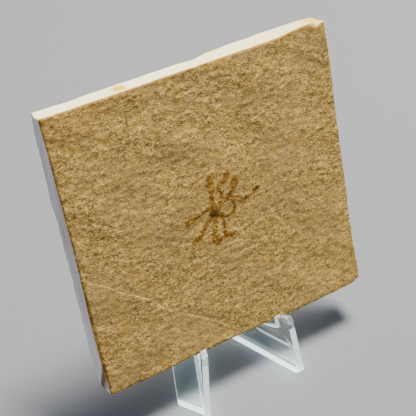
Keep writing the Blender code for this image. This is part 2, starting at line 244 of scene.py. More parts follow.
def smooth_path(points: tuple[Pair, ...], step: float) -> Array:
    """Return closely spaced points on a smooth curve through the given ones.

    Args:
        points: The places that the curve passes through, in order.
        step: About how far apart its points lie.

    Returns:
        The curve's points, one per row.
    """
    knots = [np.array(p, dtype=float) for p in points]
    padded = [2 * knots[0] - knots[1], *knots, 2 * knots[-1] - knots[-2]]
    path = []
    for n in range(1, len(padded) - 2):
        before, start, end, after = padded[n - 1:n + 3]
        pieces = max(1, round(float(np.linalg.norm(end - start)) / step))
        for m in range(pieces):
            t = m / pieces
            path.append(0.5 * (
                2 * start + (end - before) * t
                + (2 * before - 5 * start + 4 * end - after) * t ** 2
                + (3 * start - before - 3 * end + after) * t ** 3
            ))
    path.append(knots[-1])
    return np.array(path)


def linked(name: str, data: bpy.types.ID) -> Piece:
    """Make an object from its data and link it to the scene."""
    made = bpy.data.objects.new(name, data)
    bpy.context.scene.collection.objects.link(made)
    return made


def piece_from(name: str, points: Array, faces: list[tuple[int, ...]], place: Matrix) -> Piece:
    """Make a smooth-shaded piece.

    Args:
        name: The piece's name.
        points: Its points in its own frame, in mm, one per row.
        faces: Its faces, as tuples of point numbers.
        place: Where its own frame stands in the world.

    Returns:
        The new object, linked to the scene.
    """
    mesh = bpy.data.meshes.new(name)
    mesh.from_pydata((points * MM).tolist(), [], faces)
    mesh.validate()
    made = linked(name, mesh)
    made.matrix_world = place
    mesh.shade_smooth()
    return made


def spread(masks: dict[Enum, Array], chosen: Array, found: dict[Enum, Array]) -> None:
    """Put masks that were found for the chosen points alone into the masks of all points."""
    for mark, values in found.items():
        masks[mark][chosen] = values


def paint(piece: Piece, name: str, masks: dict[Enum, Array]) -> None:
    """Keep four masks, each with one number for each point, on a piece as a colour attribute."""
    columns = [masks[mark] for mark in sorted(masks, key=lambda mark: mark.value)]
    colours = np.clip(np.stack(columns, axis=1), 0.0, 1.0)
    layer = piece.data.color_attributes.new(name, "FLOAT_COLOR", "POINT")
    layer.data.foreach_set("color", colours.astype(np.float32).ravel())


# Shader nodes


class NodeSheet:
    """Adds nodes to one node tree and links them."""

    def __init__(self, tree: Group) -> None:
        """Start on a tree that may be a material's or a group's."""
        self.tree = tree

    def add(self, kind: str, **settings: object) -> bpy.types.Node:
        """Add a node of one kind with its settings."""
        node = self.tree.nodes.new(kind)
        for name, value in settings.items():
            setattr(node, name, value)
        return node

    def feed(self, target: Socket, value: object) -> None:
        """Link a socket to an input, or set the input's own value, a colour with full alpha."""
        if isinstance(value, bpy.types.NodeSocket):
            self.tree.links.new(value, target)
        elif value is not None:
            target.default_value = (*value, 1.0) if target.type == "RGBA" else value

    def settle(self, node: bpy.types.Node, **inputs: object) -> bpy.types.Node:
        """Link or set a node's inputs, each named with _ for a space, and return the node."""
        for name, value in inputs.items():
            self.feed(node.inputs[name.replace("_", " ")], value)
        return node

    def math(self, operation: str, a: object, b: object = None, clamp: bool = False) -> Socket:
        """Return the result of one sum on values."""
        node = self.add("ShaderNodeMath", operation=operation, use_clamp=clamp)
        self.feed(node.inputs[0], a)
        self.feed(node.inputs[1], b)
        return node.outputs[0]

    def vector(self, operation: str, a: object, b: object = None, scale: object = None) -> Socket:
        """Return the result of one sum on vectors."""
        node = self.add("ShaderNodeVectorMath", operation=operation)
        self.feed(node.inputs[0], a)
        self.feed(node.inputs[1], b)
        if scale is not None:
            self.feed(node.inputs["Scale"], scale)
        return node.outputs[0]

    def between(self, value: object, span: Pair, result: Pair = (0.0, 1.0)) -> Socket:
        """Return a value moved smoothly from one span of numbers to another."""
        node = self.add("ShaderNodeMapRange", interpolation_type="SMOOTHSTEP")
        (low, high), (first, last) = span, result
        self.settle(node, Value=value, From_Min=low, From_Max=high, To_Min=first, To_Max=last)
        return node.outputs["Result"]

    def mix(self, factor: object, first: object, second: object) -> Socket:
        """Return a mix of two colours, which are the mixing node's inputs 6 and 7 and its output 2."""
        node = self.add("ShaderNodeMix", data_type="RGBA")
        for number, value in ((0, factor), (6, first), (7, second)):
            self.feed(node.inputs[number], value)
        return node.outputs[2]

    def ramp(self, factor: Socket, stops: list[tuple[float, Colour]]) -> Socket:
        """Return a colour read from a ramp.

        Args:
            factor: Where on the ramp to read, from 0 to 1.
            stops: The place and the colour of each stop, from low to high.

        Returns:
            The colour.
        """
        node = self.add("ShaderNodeValToRGB")
        elements = node.color_ramp.elements
        while len(elements) < len(stops):
            elements.new(0.5)
        for element, (place, colour) in zip(elements, stops):
            element.position = place
            element.color = (*colour, 1.0)
        self.feed(node.inputs["Fac"], factor)
        return node.outputs["Color"]

    def noise(self, place: Socket, scale: object, detail: float = 3.0, roughness: float = 0.55) -> Socket:
        """Return fine noise between about 0 and 1."""
        node = self.add("ShaderNodeTexNoise")
        return self.settle(node, Vector=place, Scale=scale, Detail=detail, Roughness=roughness).outputs["Fac"]

    def relief(self, height: Socket, depth: float) -> Socket:
        """Return a normal bumped by a height whose whole range stands for a depth in mm."""
        node = self.add("ShaderNodeBump")
        return self.settle(node, Distance=depth * MM, Height=height).outputs["Normal"]

    def blend(self, share: object, first: Socket, second: Socket) -> Socket:
        """Return a mix of two shaders."""
        node = self.add("ShaderNodeMixShader")
        for number, value in enumerate((share, first, second)):
            self.feed(node.inputs[number], value)
        return node.outputs[0]

    def group(self, tree: Group, **inputs: object) -> bpy.types.Node:
        """Place a shader group with its own values, each named with _ for a space."""
        return self.settle(self.add("ShaderNodeGroup", node_tree=tree), **inputs)

    def marks(self, attribute: str, kinds: type[Enum]) -> dict[Enum, Socket]:
        """Return the four masks that a piece's colour attribute carries."""
        source = self.add("ShaderNodeAttribute", attribute_name=attribute)
        parts = self.add("ShaderNodeSeparateColor")
        self.feed(parts.inputs[0], source.outputs["Color"])
        return dict(zip(kinds, (*parts.outputs, source.outputs["Alpha"])))

    def millimetres(self) -> Socket:
        """Return the place on the piece, in its own frame, in mm."""
        place = self.add("ShaderNodeTexCoord").outputs["Object"]
        return self.vector("SCALE", place, scale=1.0 / MM)


def new_group(name: str, inputs: dict[str, object],
              outputs: dict[str, str]) -> tuple[NodeSheet, dict, bpy.types.Node]:
    """Start a shader node group.

    Args:
        name: The group's name.
        inputs: Each input's name with its default value, or with its kind where it always is linked.
        outputs: Each output's name and kind.

    Returns:
        A sheet on the group, its inputs by name, and its output node.
    """
    tree = bpy.data.node_groups.new(name, "ShaderNodeTree")
    for label, value in inputs.items():
        kind = value if isinstance(value, str) else VALUE
        socket = tree.interface.new_socket(label, in_out="INPUT", socket_type=kind)
        if kind == VALUE:
            socket.default_value = value
    for label, kind in outputs.items():
        tree.interface.new_socket(label, in_out="OUTPUT", socket_type=kind)
    sheet = NodeSheet(tree)
    return sheet, sheet.add("NodeGroupInput").outputs, sheet.add("NodeGroupOutput")


def streak_group() -> Group:
    """Build the stone's fine streaks and flecks.

    Returns:
        A group that gives a tone from 0 to 1 and a height from a place.
    """
    fine_scale, broad_scale, fine_share = 1.25, 0.42, 0.7
    sheet, given, result = new_group(
        "stone_streaks", {"Place": VECTOR, "Fleck Size": 1.0, "Stretch": 1.6, "Contrast": 1.0},
        {"Tone": VALUE, "Height": VALUE})
    squeeze = sheet.settle(sheet.add("ShaderNodeCombineXYZ"), Y=1.0, Z=1.0,
                           X=sheet.math("DIVIDE", 1.0, given["Stretch"]))
    place = sheet.vector("MULTIPLY", given["Place"], squeeze.outputs[0])
    scale = sheet.math("DIVIDE", 1.0, given["Fleck Size"])
    fine = sheet.noise(place, sheet.math("MULTIPLY", scale, fine_scale), detail=2.0, roughness=0.6)
    broad = sheet.noise(place, sheet.math("MULTIPLY", scale, broad_scale), detail=2.0)
    both = sheet.math("ADD", sheet.math("MULTIPLY", fine, fine_share),
                      sheet.math("MULTIPLY", broad, 1.0 - fine_share))
    centred = sheet.math("MULTIPLY", sheet.math("SUBTRACT", both, 0.5), given["Contrast"])
    sheet.settle(result, Tone=sheet.math("ADD", centred, 0.5, clamp=True), Height=both)
    return sheet.tree


def speckle_group() -> Group:
    """Build sparse specks, such as ore grains and pores.

    Returns:
        A group that gives a mask from a place.
    """
    crispness = 12.0
    sheet, given, result = new_group(
        "sparse_specks", {"Place": VECTOR, "Spacing": 1.0, "Size": 0.2}, {"Mask": VALUE})
    cells = sheet.settle(sheet.add("ShaderNodeTexVoronoi", feature="F1"), Vector=given["Place"],
                         Scale=sheet.math("DIVIDE", 1.0, given["Spacing"]))
    chosen = sheet.add("ShaderNodeSeparateColor")
    sheet.feed(chosen.inputs[0], cells.outputs["Color"])
    radius = sheet.math("MULTIPLY", given["Size"], chosen.outputs[0])
    inside = sheet.math("SUBTRACT", radius, cells.outputs["Distance"])
    sheet.settle(result, Mask=sheet.math("MULTIPLY", inside, crispness, clamp=True))
    return sheet.tree


def fine_line_group() -> Group:
    """Build a thin line where a signed distance, kept as 0.5 on the line, changes side.

    Returns:
        A group that gives a mask from the distance and a strength.
    """
    core, reach = 0.02, 0.085
    sheet, given, result = new_group("fine_line", {"Side": 0.5, "Strength": 0.0}, {"Mask": VALUE})
    away = sheet.math("ABSOLUTE", sheet.math("SUBTRACT", given["Side"], 0.5))
    line = sheet.between(away, (core, reach), (1.0, 0.0))
    sheet.settle(result, Mask=sheet.math("MULTIPLY", line, given["Strength"], clamp=True))
    return sheet.tree


def bedding_group() -> Group:
    """Build thin layers that follow the slab's depth.

    Returns:
        A group that gives a tone from 0 to 1 from a place.
    """
    along_layers = 0.03
    sheet, given, result = new_group("bedding_lines", {"Place": VECTOR, "Spacing": 1.0}, {"Tone": VALUE})
    flatten = sheet.vector("MULTIPLY", given["Place"], (along_layers, along_layers, 1.0))
    scale = sheet.math("DIVIDE", 1.0, given["Spacing"])
    sheet.settle(result, Tone=sheet.noise(flatten, scale, detail=4.0, roughness=0.6))
    return sheet.tree


@dataclass(frozen=True)
class WeatheredFace:
    """The buff, felt-like skin of the split faces: brown hollows and pale ridges that are partly painted
    shade and painted light, golden flecks and greyer clouds, and painted light that brightens it towards the
    right.
    """

    # The tone stops, from hollow to fleck, follow the grain's height: partly the stone's own tone, partly
    # painted shade in the low grain and painted light on the high grain
    hollow: Colour = (0.155, 0.089, 0.023)
    body: Colour = (0.360, 0.230, 0.070)
    ridge_and_painted_light: Colour = (0.495, 0.320, 0.101)
    fleck: Colour = (0.80, 0.53, 0.155)
    grey: Colour = (0.29, 0.196, 0.078)
    gold: Colour = (0.47, 0.290, 0.054)
    pore: Colour = (0.10, 0.052, 0.016)
    fleck_size: float = 0.60
    stretch: float = 1.4
    contrast: float = 3.7
    tone_stops: tuple[float, ...] = (0.08, 0.44, 0.68, 0.97)
    grey_clouds: float = 0.055
    grey_span: Pair = (0.42, 0.66)
    grey_share: float = 0.55
    gold_patches: float = 0.21
    gold_span: Pair = (0.5, 0.72)
    gold_share: float = 0.45
    shade_clouds: float = 0.045
    shade_span: Pair = (0.36, 0.64)
    shades: Pair = (0.885, 1.105)
    painted_light_span: Pair = (-130.0, 20.0)
    painted_light_shades: Pair = (0.955, 1.03)
    pore_spacing: float = 2.1
    pore_size: float = 0.16
    pore_share: float = 0.6

    def build(self, streaks: Group, specks: Group) -> Group:
        """Build the shader group.

        Args:
            streaks: The group of fine streaks.
            specks: The group of sparse specks.

        Returns:
            A group that gives a colour and a height from a place.
        """
        sheet, given, result = new_group(
            "weathered_face", {"Place": VECTOR}, {"Colour": COLOUR, "Height": VALUE})
        place = given["Place"]
        streak = sheet.group(streaks, Place=place, Fleck_Size=self.fleck_size, Stretch=self.stretch,
                             Contrast=self.contrast)
        # Painted shade and light: the ramp darkens the grain where its height is low and lightens it where it
        # is high
        tones = (self.hollow, self.body, self.ridge_and_painted_light, self.fleck)
        colour = sheet.ramp(streak.outputs["Tone"], list(zip(self.tone_stops, tones)))
        clouds = sheet.noise(place, self.grey_clouds)
        colour = sheet.mix(sheet.between(clouds, self.grey_span, (0.0, self.grey_share)), colour, self.grey)
        patches = sheet.noise(place, self.gold_patches, detail=2.0)
        colour = sheet.mix(sheet.between(patches, self.gold_span, (0.0, self.gold_share)), colour, self.gold)
        shades = sheet.noise(place, self.shade_clouds, roughness=0.6)
        across = sheet.settle(sheet.add("ShaderNodeSeparateXYZ"), Vector=place)
        # Painted light: the colour is scaled up from left to right across the face, as if more light fell on
        # the right
        lower_right = sheet.math("SUBTRACT", across.outputs["X"], across.outputs["Z"])
        shade = sheet.math("MULTIPLY", sheet.between(shades, self.shade_span, self.shades),
                           sheet.between(lower_right, self.painted_light_span, self.painted_light_shades))
        colour = sheet.vector("SCALE", colour, scale=shade)
        pores = sheet.group(specks, Place=place, Spacing=self.pore_spacing, Size=self.pore_size).outputs[0]
        sheet.settle(result, Height=sheet.math("SUBTRACT", streak.outputs["Height"], pores),
                     Colour=sheet.mix(sheet.math("MULTIPLY", pores, self.pore_share), colour, self.pore))
        return sheet.tree


@dataclass(frozen=True)
class FossilStain:
    """The rusty stain of the fossil, laid over a stone colour in the same way on both pieces."""

    rust: Colour = (0.185, 0.080, 0.008)
    pale_rust: Colour = (0.33, 0.160, 0.018)
    dark: Colour = (0.070, 0.030, 0.005)
    gold: Colour = (0.74, 0.50, 0.14)
    disc: Colour = (0.062, 0.030, 0.004)
    fleck_size: float = 0.5
    stretch: float = 1.2
    contrast: float = 2.6
    rust_span: Pair = (0.25, 0.85)

    def build(self, streaks: Group) -> Group:
        """Build the shader group.

        Args:
            streaks: The group of fine streaks.

        Returns:
            A group that gives a colour from a place, a stone colour and four masks.
        """
        masks = {mark.name.title(): 0.0 for mark in FossilMark}
        sheet, given, result = new_group(
            "fossil_stain", {"Place": VECTOR, "Stone": COLOUR, **masks}, {"Colour": COLOUR})
        streak = sheet.group(streaks, Place=given["Place"], Fleck_Size=self.fleck_size, Stretch=self.stretch,
                             Contrast=self.contrast)
        rust = sheet.mix(sheet.between(streak.outputs["Tone"], self.rust_span), self.rust, self.pale_rust)
        colour = given["Stone"]
        for mask, stain in (("Rust", rust), ("Dark", self.dark), ("Gold", self.gold), ("Disc", self.disc)):
            colour = sheet.mix(given[mask], colour, stain)
        sheet.settle(result, Colour=colour)
        return sheet.tree


class EffectShelf:
    """The shader groups that more than one material uses, built once."""

    def __init__(self) -> None:
        """Build the groups."""
        self.streaks = streak_group()
        self.specks = speckle_group()
        self.bedding = bedding_group()
        self.fine_line = fine_line_group()
        self.weathered = WeatheredFace().build(self.streaks, self.specks)
        self.stain = FossilStain().build(self.streaks)

    def stained_stone(self, sheet: NodeSheet, place: Socket) -> tuple[Socket, Socket, dict[Enum, Socket]]:
        """Add the weathered face with the fossil's stain over it.

        Args:
            sheet: The material to add it to.
            place: The place on the piece in mm.

        Returns:
            Its colour, its height, and the fossil's masks.
        """
        face = sheet.group(self.weathered, Place=place)
        masks = sheet.marks(FOSSIL_MARKS, FossilMark)
        named = {mark.name.title(): socket for mark, socket in masks.items()}
        stained = sheet.group(self.stain, Place=place, Stone=face.outputs["Colour"], **named)
        return stained.outputs["Colour"], face.outputs["Height"], masks


def new_material(name: str) -> tuple[bpy.types.Material, NodeSheet, bpy.types.Node]:
    """Start a material and return it with its sheet and its Principled shader."""
    made = bpy.data.materials.new(name)
    made.use_nodes = True
    return made, NodeSheet(made.node_tree), made.node_tree.nodes["Principled BSDF"]


@dataclass(frozen=True)
class LimestoneFinish:
    """Buff weathered faces, cream or cold grey sawn sides, iron stains and a dark rim; the cold grey and a
    dark brown are painted shade on the left sawn side.
    """

    name: str = "buff_limestone"
    cut: Colour = (0.93, 0.87, 0.56)
    cut_vein: Colour = (0.80, 0.69, 0.36)
    cut_dust: Colour = (0.94, 0.91, 0.72)
    # A cold grey copy of the cut colours: painted shade for the left sawn side
    shaded_cut: Colour = (0.95, 0.94, 1.0)
    shaded_vein: Colour = (0.62, 0.60, 0.65)
    iron: Colour = (0.40, 0.18, 0.025)
    cut_iron: Colour = (0.64, 0.40, 0.004)
    dark: Colour = (0.090, 0.042, 0.012)
    # Dark brown on the sawn sides: the crusted seams, and painted shade on the left side
    cut_dark_and_shade: Colour = (0.20, 0.105, 0.04)
    pale: Colour = (0.68, 0.46, 0.13)
    crease: Colour = (0.84, 0.57, 0.16)
    layer_spacing: float = 0.9
    vein_span: Pair = (0.42, 0.66)
    dust_scale: float = 1.6
    dust_span: Pair = (0.35, 0.7)
    dust_share: float = 0.45
    roughness: float = 0.92
    specular: float = 0.05
    grain_depth: float = 0.20
    cut_grain_share: float = 0.35

    def build(self, shelf: EffectShelf) -> bpy.types.Material:
        """Build the material.

        Args:
            shelf: The shared shader groups.

        Returns:
            The finished material.
        """
        made, sheet, shader = new_material(self.name)
        place = sheet.millimetres()
        marks = sheet.marks(STONE_MARKS, StoneMark)
        iron, dark, crust = marks[StoneMark.IRON], marks[StoneMark.DARK], marks[StoneMark.CRUST]
        pale_and_side_shade = marks[StoneMark.PALE]
        weathered, height, _ = shelf.stained_stone(sheet, place)
        weathered = sheet.mix(iron, weathered, self.iron)
        # The dark mask also carries the painted shadow of the broken lower right edge
        weathered = sheet.mix(dark, weathered, self.dark)
        # The pale mask and the dark mask above also carry the clouds' painted light and shade
        weathered = sheet.mix(pale_and_side_shade, weathered, self.pale)
        lines = sheet.marks(STONE_LINES, StoneLine)
        for side, strength in ((StoneLine.CREASE_SIDE, StoneLine.CREASE),
                               (StoneLine.FAINT_SIDE, StoneLine.FAINT)):
            line = sheet.group(shelf.fine_line, Side=lines[side], Strength=lines[strength]).outputs["Mask"]
            weathered = sheet.mix(line, weathered, self.crease)

        layers = sheet.group(shelf.bedding, Place=place, Spacing=self.layer_spacing).outputs["Tone"]
        veined = sheet.between(layers, self.vein_span)
        cut = sheet.mix(veined, self.cut, self.cut_vein)
        dusty = sheet.noise(place, self.dust_scale)
        cut = sheet.mix(sheet.between(dusty, self.dust_span, (0.0, self.dust_share)), cut, self.cut_dust)
        # Painted shade: the cold grey copy replaces the cut colour on the left side
        cut = sheet.mix(pale_and_side_shade, cut, sheet.mix(veined, self.shaded_cut, self.shaded_vein))
        cut = sheet.mix(iron, cut, self.cut_iron)
        # The dark brown also paints shade on the left side and its broken corner
        cut = sheet.mix(dark, cut, self.cut_dark_and_shade)

        height = sheet.math("MULTIPLY", height, sheet.between(crust, (0.0, 1.0), (self.cut_grain_share, 1.0)))
        sheet.settle(shader, Base_Color=sheet.mix(crust, cut, weathered), Roughness=self.roughness,
                     Specular_IOR_Level=self.specular, Normal=sheet.relief(height, self.grain_depth))
        return made


@dataclass(frozen=True)
class FossilFinish:
    """Rust-brown arms with dark broken margins and golden specks, and a dark brown disc."""

    name: str = "rusty_fossil"
    roughness: float = 0.85
    disc_roughness: float = 0.6
    specular: float = 0.08
    grain_depth: float = 0.14

    def build(self, shelf: EffectShelf) -> bpy.types.Material:
        """Build the material.

        Args:
            shelf: The shared shader groups.

        Returns:
            The finished material.
        """
        made, sheet, shader = new_material(self.name)
        colour, height, masks = shelf.stained_stone(sheet, sheet.millimetres())
        disc_or_arm = sheet.between(masks[FossilMark.DISC], (0.0, 1.0), (self.roughness, self.disc_roughness))
        sheet.settle(shader, Base_Color=colour, Roughness=disc_or_arm, Specular_IOR_Level=self.specular,
                     Normal=sheet.relief(height, self.grain_depth))
        return made


@dataclass(frozen=True)
class AcrylicFinish:
    """Clear plastic sheet, polished on its faces or whitish where it was cut; the finishes of the cut and
    base edges carry a painted glow, an emission that stands in for light piped through the sheet.
    """

    name: str
    tint: Colour
    roughness: float
    transmission: float
    scuffs: float
    haze: float
    painted_glow: float
    shade: Colour = (0.90, 0.92, 0.93)
    refraction: float = 1.49
    scuff_size: float = 2.4
    scuff_span: Pair = (0.3, 0.8)
    scuff_depth: float = 0.1

    def build(self, shelf: EffectShelf) -> bpy.types.Material:
        """Build the material.

        Args:
            shelf: The shared shader groups.

        Returns:
            The finished material.
        """
        made, sheet, shader = new_material(self.name)
        place = sheet.millimetres()
        # Painted light: the emission makes the cut edges glow as if lit by light piped through the sheet
        sheet.settle(shader, Base_Color=self.tint, IOR=self.refraction, Transmission_Weight=self.transmission,
                     Emission_Color=self.tint, Emission_Strength=self.painted_glow)
        streaks = sheet.group(shelf.streaks, Place=place, Fleck_Size=self.scuff_size, Stretch=1.0,
                              Contrast=1.0)
        uneven = sheet.between(streaks.outputs["Tone"], self.scuff_span,
                               (self.roughness, self.roughness + self.scuffs))
        relief = sheet.relief(streaks.outputs["Height"], self.scuffs * self.scuff_depth)
        sheet.settle(shader, Roughness=uneven, Normal=relief)
        scatter = sheet.settle(sheet.add("ShaderNodeBsdfTranslucent"), Color=self.tint)
        surface = sheet.blend(self.haze, shader.outputs[0], scatter.outputs[0])
        passing = sheet.settle(sheet.add("ShaderNodeBsdfTransparent"), Color=self.shade)
        lamp_ray = sheet.add("ShaderNodeLightPath").outputs["Is Shadow Ray"]
        surface = sheet.blend(lamp_ray, surface, passing.outputs[0])
        sheet.settle(made.node_tree.nodes["Material Output"], Surface=surface)
        return made


# The four finishes of the easel, in the order of its kinds of face; the cut and base edges carry a painted
# glow
EASEL_FINISHES = (
    AcrylicFinish("polished_acrylic", tint=(0.84, 0.88, 0.90), roughness=0.02, transmission=1.0,
                  scuffs=0.03, haze=0.03, painted_glow=0.0),
    AcrylicFinish("cut_acrylic_edge", tint=(0.86, 0.98, 0.96), roughness=0.35, transmission=0.05,
                  scuffs=0.12, haze=0.20, painted_glow=0.60),
    AcrylicFinish("hook_acrylic_edge", tint=(0.80, 0.86, 0.88), roughness=0.15, transmission=0.90,
                  scuffs=0.12, haze=0.06, painted_glow=0.0),
    AcrylicFinish("base_acrylic_edge", tint=(0.88, 1.0, 0.95), roughness=0.35, transmission=0.05,
                  scuffs=0.12, haze=0.20, painted_glow=2.2),
)


@dataclass(frozen=True)
class FloorFinish:
    """Plain pale matt board under the object."""

    name: str = "pale_board"
    colour: Colour = (0.195, 0.206, 0.240)
    roughness: float = 0.9
    specular: float = 0.2

    def build(self) -> bpy.types.Material:
        """Build the material."""
        made, sheet, shader = new_material(self.name)
        sheet.settle(shader, Base_Color=self.colour, Roughness=self.roughness,
                     Specular_IOR_Level=self.specular)
        return made


# The slab


@dataclass(frozen=True)
class Lean:
    """The slab's own frame: right along its face, up its face, and out of its face."""

    angle: float = math.radians(20.25)
    front_edge_y: float = -14.6
    front_edge_height: float = 18.0

    def matrix(self) -> Matrix:
        """Work out where the slab's own frame stands.

        Returns:
            The matrix that takes places in the slab's frame to the world.
        """
        sine, cosine = math.sin(self.angle), math.cos(self.angle)
        return Matrix((
            (1, 0, 0, 0),
            (0, sine, -cosine, self.front_edge_y * MM),
            (0, cosine, sine, self.front_edge_height * MM),
            (0, 0, 0, 1),
        ))


@dataclass(frozen=True)
class Dent:
    """A hollow in a cut side, or a swelling where the depth is negative.

    It is placed in mm along the side, and by its share of the way from the front to the back. With no
    such share it runs through the whole thickness.
    """

    along: float
    reach: float
    depth: float
    through: float | None = None
    reach_through: float = 1.0

    def profile(self, along: Array, through: Array) -> Array:
        """Return the dent's depth at places along the side and shares of its depth, in mm."""
        across = 1.0 if self.through is None else bump(through, self.through, self.reach_through)
        return self.depth * bump(along, self.along, self.reach) * across


@dataclass(frozen=True)
class CutSide:
    """One sawn side: how it wanders, steps with the bedding, swells and is chipped, in mm."""

    wander_phase: float
    bedding_phase: float
    seed: int
    dents: tuple[Dent, ...]
    outward: float = 0.0
    wander: float = 0.20
    bedding: float = 0.25
    bedding_turns: float = 9.0
    thickness: float = 9.2
    nibble: float = 0.26
    nibble_length: float = 2.4
    back_nibble: float = 1.5
    front_reach: float = 0.05
    back_start: float = 0.93
    saw_depth: float = 0.05
    saw_mark: Pair = (9.0, 0.7)

    def inset(self, along: Array, through: Array) -> Array:
        """Return how far the side stands in.

        Args:
            along: Places along the side, in mm.
            through: Shares of the way from the front to the back.

        Returns:
            Distances in mm.
        """
        wander = self.wander * waves(along, 0.0 * along, self.wander_phase) * through
        stepped = 0.5 * self.bedding * np.sin(self.bedding_turns * through + self.bedding_phase)
        total = wander + stepped * ease(through, 0.0, self.front_reach) - self.outward
        for dent in self.dents:
            total = total + dent.profile(along, through)
        at_back = self.back_nibble * ease(through, self.back_start, 1.0)
        at_ends = ease(through, self.front_reach, 0.0) + at_back
        bites = np.maximum(rough(along, 0.0 * along, self.nibble_length, 1.0, self.seed, 4) + 0.05, 0.0)
        grooves = rough(along, through * self.thickness, *self.saw_mark, self.seed + 9)
        return total + self.nibble * bites * at_ends + self.saw_depth * grooves


@dataclass(frozen=True)
class Lump:
    """A broad swelling of the slab's back, or a thinning where the rise is negative, in mm."""

    right: float
    up: float
    reach_right: float
    reach_up: float
    rise: float


@dataclass
class StoneSlab:
    """The sawn limestone slab, as one closed mesh on a fine lattice, coarser behind."""

    lean: Lean
    width: float = 100.0
    height: float = 94.8
    thickness: float = 9.2
    cells_across: int = 248
    cells_up: int = 236
    fine_depths: tuple[float, ...] = (0.0, 0.22, 0.5, 0.9)
    coarse_layers: int = 11
    edge_pull: float = 0.14
    level_centre: Pair = (1.5, 47.0)
    level_radius: float = 15.0
    level_fade: float = 8.0
    back_lumps: tuple[Lump, ...] = (
        Lump(right=25.0, up=94.8, reach_right=25.0, reach_up=30.0, rise=1.9),
        Lump(right=-50.0, up=60.0, reach_right=22.0, reach_up=24.0, rise=0.9),
        Lump(right=-50.0, up=94.8, reach_right=20.0, reach_up=18.0, rise=-0.7),
    )
    left: CutSide = CutSide(0.9, 0.4, seed=3, dents=(
        Dent(15.0, 42.0, -0.72), Dent(94.8, 8.0, -0.2), Dent(6.0, 6.0, 0.4, 0.0, 0.7),
        Dent(0.0, 4.0, 0.25, 0.0, 0.7), Dent(2.0, 8.0, 0.3, 0.4, 0.4), Dent(94.8, 7.0, 0.7, 1.0, 0.8),
    ))
    right: CutSide = CutSide(2.6, 2.2, seed=21, dents=(
        Dent(18.0, 12.0, 0.42), Dent(48.0, 30.0, 0.14), Dent(27.0, 6.0, 0.22), Dent(78.0, 7.0, -0.25),
        Dent(90.0, 14.0, -0.6), Dent(3.0, 7.0, -0.25),
    ))
    bottom: CutSide = CutSide(4.1, 0.0, seed=42, outward=0.8, wander=0.10, bedding=0.0, dents=(
        Dent(-38.0, 22.0, -0.35), Dent(28.0, 34.0, -0.75), Dent(50.0, 3.5, 0.9),
        Dent(-50.0, 8.0, 0.2, 1.0, 0.9),
    ))
    top: CutSide = CutSide(5.2, 3.6, seed=64, dents=(
        Dent(45.0, 16.0, -1.05, 0.0, 1.4), Dent(-50.0, 12.0, -0.3), Dent(46.9, 2.2, 0.85, 0.0, 0.9),
        Dent(50.0, 4.0, 0.6, 0.0, 0.8), Dent(46.0, 6.0, -0.35, 1.0, 1.0), Dent(4.5, 6.0, 0.35, 1.0, 0.6),
        Dent(28.0, 22.0, -0.25, 1.0, 1.2),
    ))
    set_back: float = 0.075
    sink: float = 0.275
    sink_waves: float = 0.20
    streak_height: float = 0.125
    grain_height: float = 0.115
    crease_height: float = 0.07
    faint_height: float = 0.04
    pit_depth: float = 0.32
    back_waves: float = 0.45
    back_grain: float = 0.10
    right_bevel: float = 0.3
    bottom_bevel: float = 0.22
    line_reach: float = 1.6
    crease: tuple[Pair, ...] = (
        (-49.8, 42.1), (-47.6, 40.0), (-42.4, 36.5), (-38.6, 32.9), (-30.1, 26.6), (-25.8, 21.6),
        (-19.9, 16.7), (-10.5, 10.0), (-1.1, 2.0),
    )
    faint_lines: tuple[tuple[Pair, ...], ...] = (
        ((1.7, 93.5), (2.4, 91.2), (4.6, 85.1), (6.6, 79.2), (9.2, 74.2), (12.3, 67.4)),
        ((18.2, 41.5), (21.3, 35.7), (24.9, 29.5)),
    )
    # Soft broad patches of painted light and shade on the front: a centre, a reach and a strength, paler
    # where positive and darker where negative
    clouds: tuple[tuple[Pair, float, float], ...] = (
        ((41.0, 10.0), 24.0, 0.10), ((8.0, 34.0), 34.0, 0.05), ((-40.0, 10.0), 26.0, -0.06),
        ((-34.0, 88.0), 30.0, -0.05),
    )
    pits: tuple[tuple[Pair, float], ...] = (
        ((-46.8, 91.5), 0.45), ((-23.4, 92.6), 0.4), ((-21.9, 91.4), 0.45), ((-19.6, 92.1), 0.4),
        ((-17.7, 91.7), 0.5),
    )
    rusty_corner: Pair = (-47.0, 94.0)
    rusty_pits: Pair = (-20.0, 91.8)
    ochre_spot: Pair = (-22.3, 0.45)
    ochre_size: Pair = (2.7, 0.36)
    chip_place: float = 46.6
    chip_reach: float = 2.6
    break_height: float = 11.5
    break_depth: float = 0.85
    sliver_foot: float = 82.0

    def front_depth(self, right: Array, up: Array) -> Array:
        """Return how far the front face lies behind its flat plane, before its fine relief."""
        away = np.hypot(right - self.level_centre[0], up - self.level_centre[1])
        beyond = np.clip((away - self.level_radius) / self.level_fade, 0.0, 1.0)
        return self.set_back + beyond * (self.sink + self.sink_waves * waves(right, up, 0.4))

    def relief(self, right: Array, up: Array) -> Array:
        """Return the front's fine relief in mm, streaked along the slab, higher out of the face."""
        streaks = rough(right, up, 3.2, 1.7, 101)
        grain = rough(right, up, 1.25, 0.85, 131, 2)
        return self.streak_height * streaks + self.grain_height * grain

    def lines(self, right: Array, up: Array) -> tuple[Array, Array]:
        """Work out where the crease and the fainter lines run.

        Args:
            right: Places along the face, in mm.
            up: Places up the face, in mm.

        Returns:
            Masks of the pale crease across the face and of its fainter lines.
        """
        away, _ = distance_to_path(right, up, smooth_path(self.crease, 0.5))
        crease = ease(away, 0.36, 0.04) * (0.8 + 0.6 * rough(right, up, 3.0, 3.0, 161))
        faint = np.zeros(right.shape)
        for chain in self.faint_lines:
            away, _ = distance_to_path(right, up, smooth_path(chain, 0.5))
            faint = np.maximum(faint, ease(away, 0.55, 0.1))
        return crease, faint

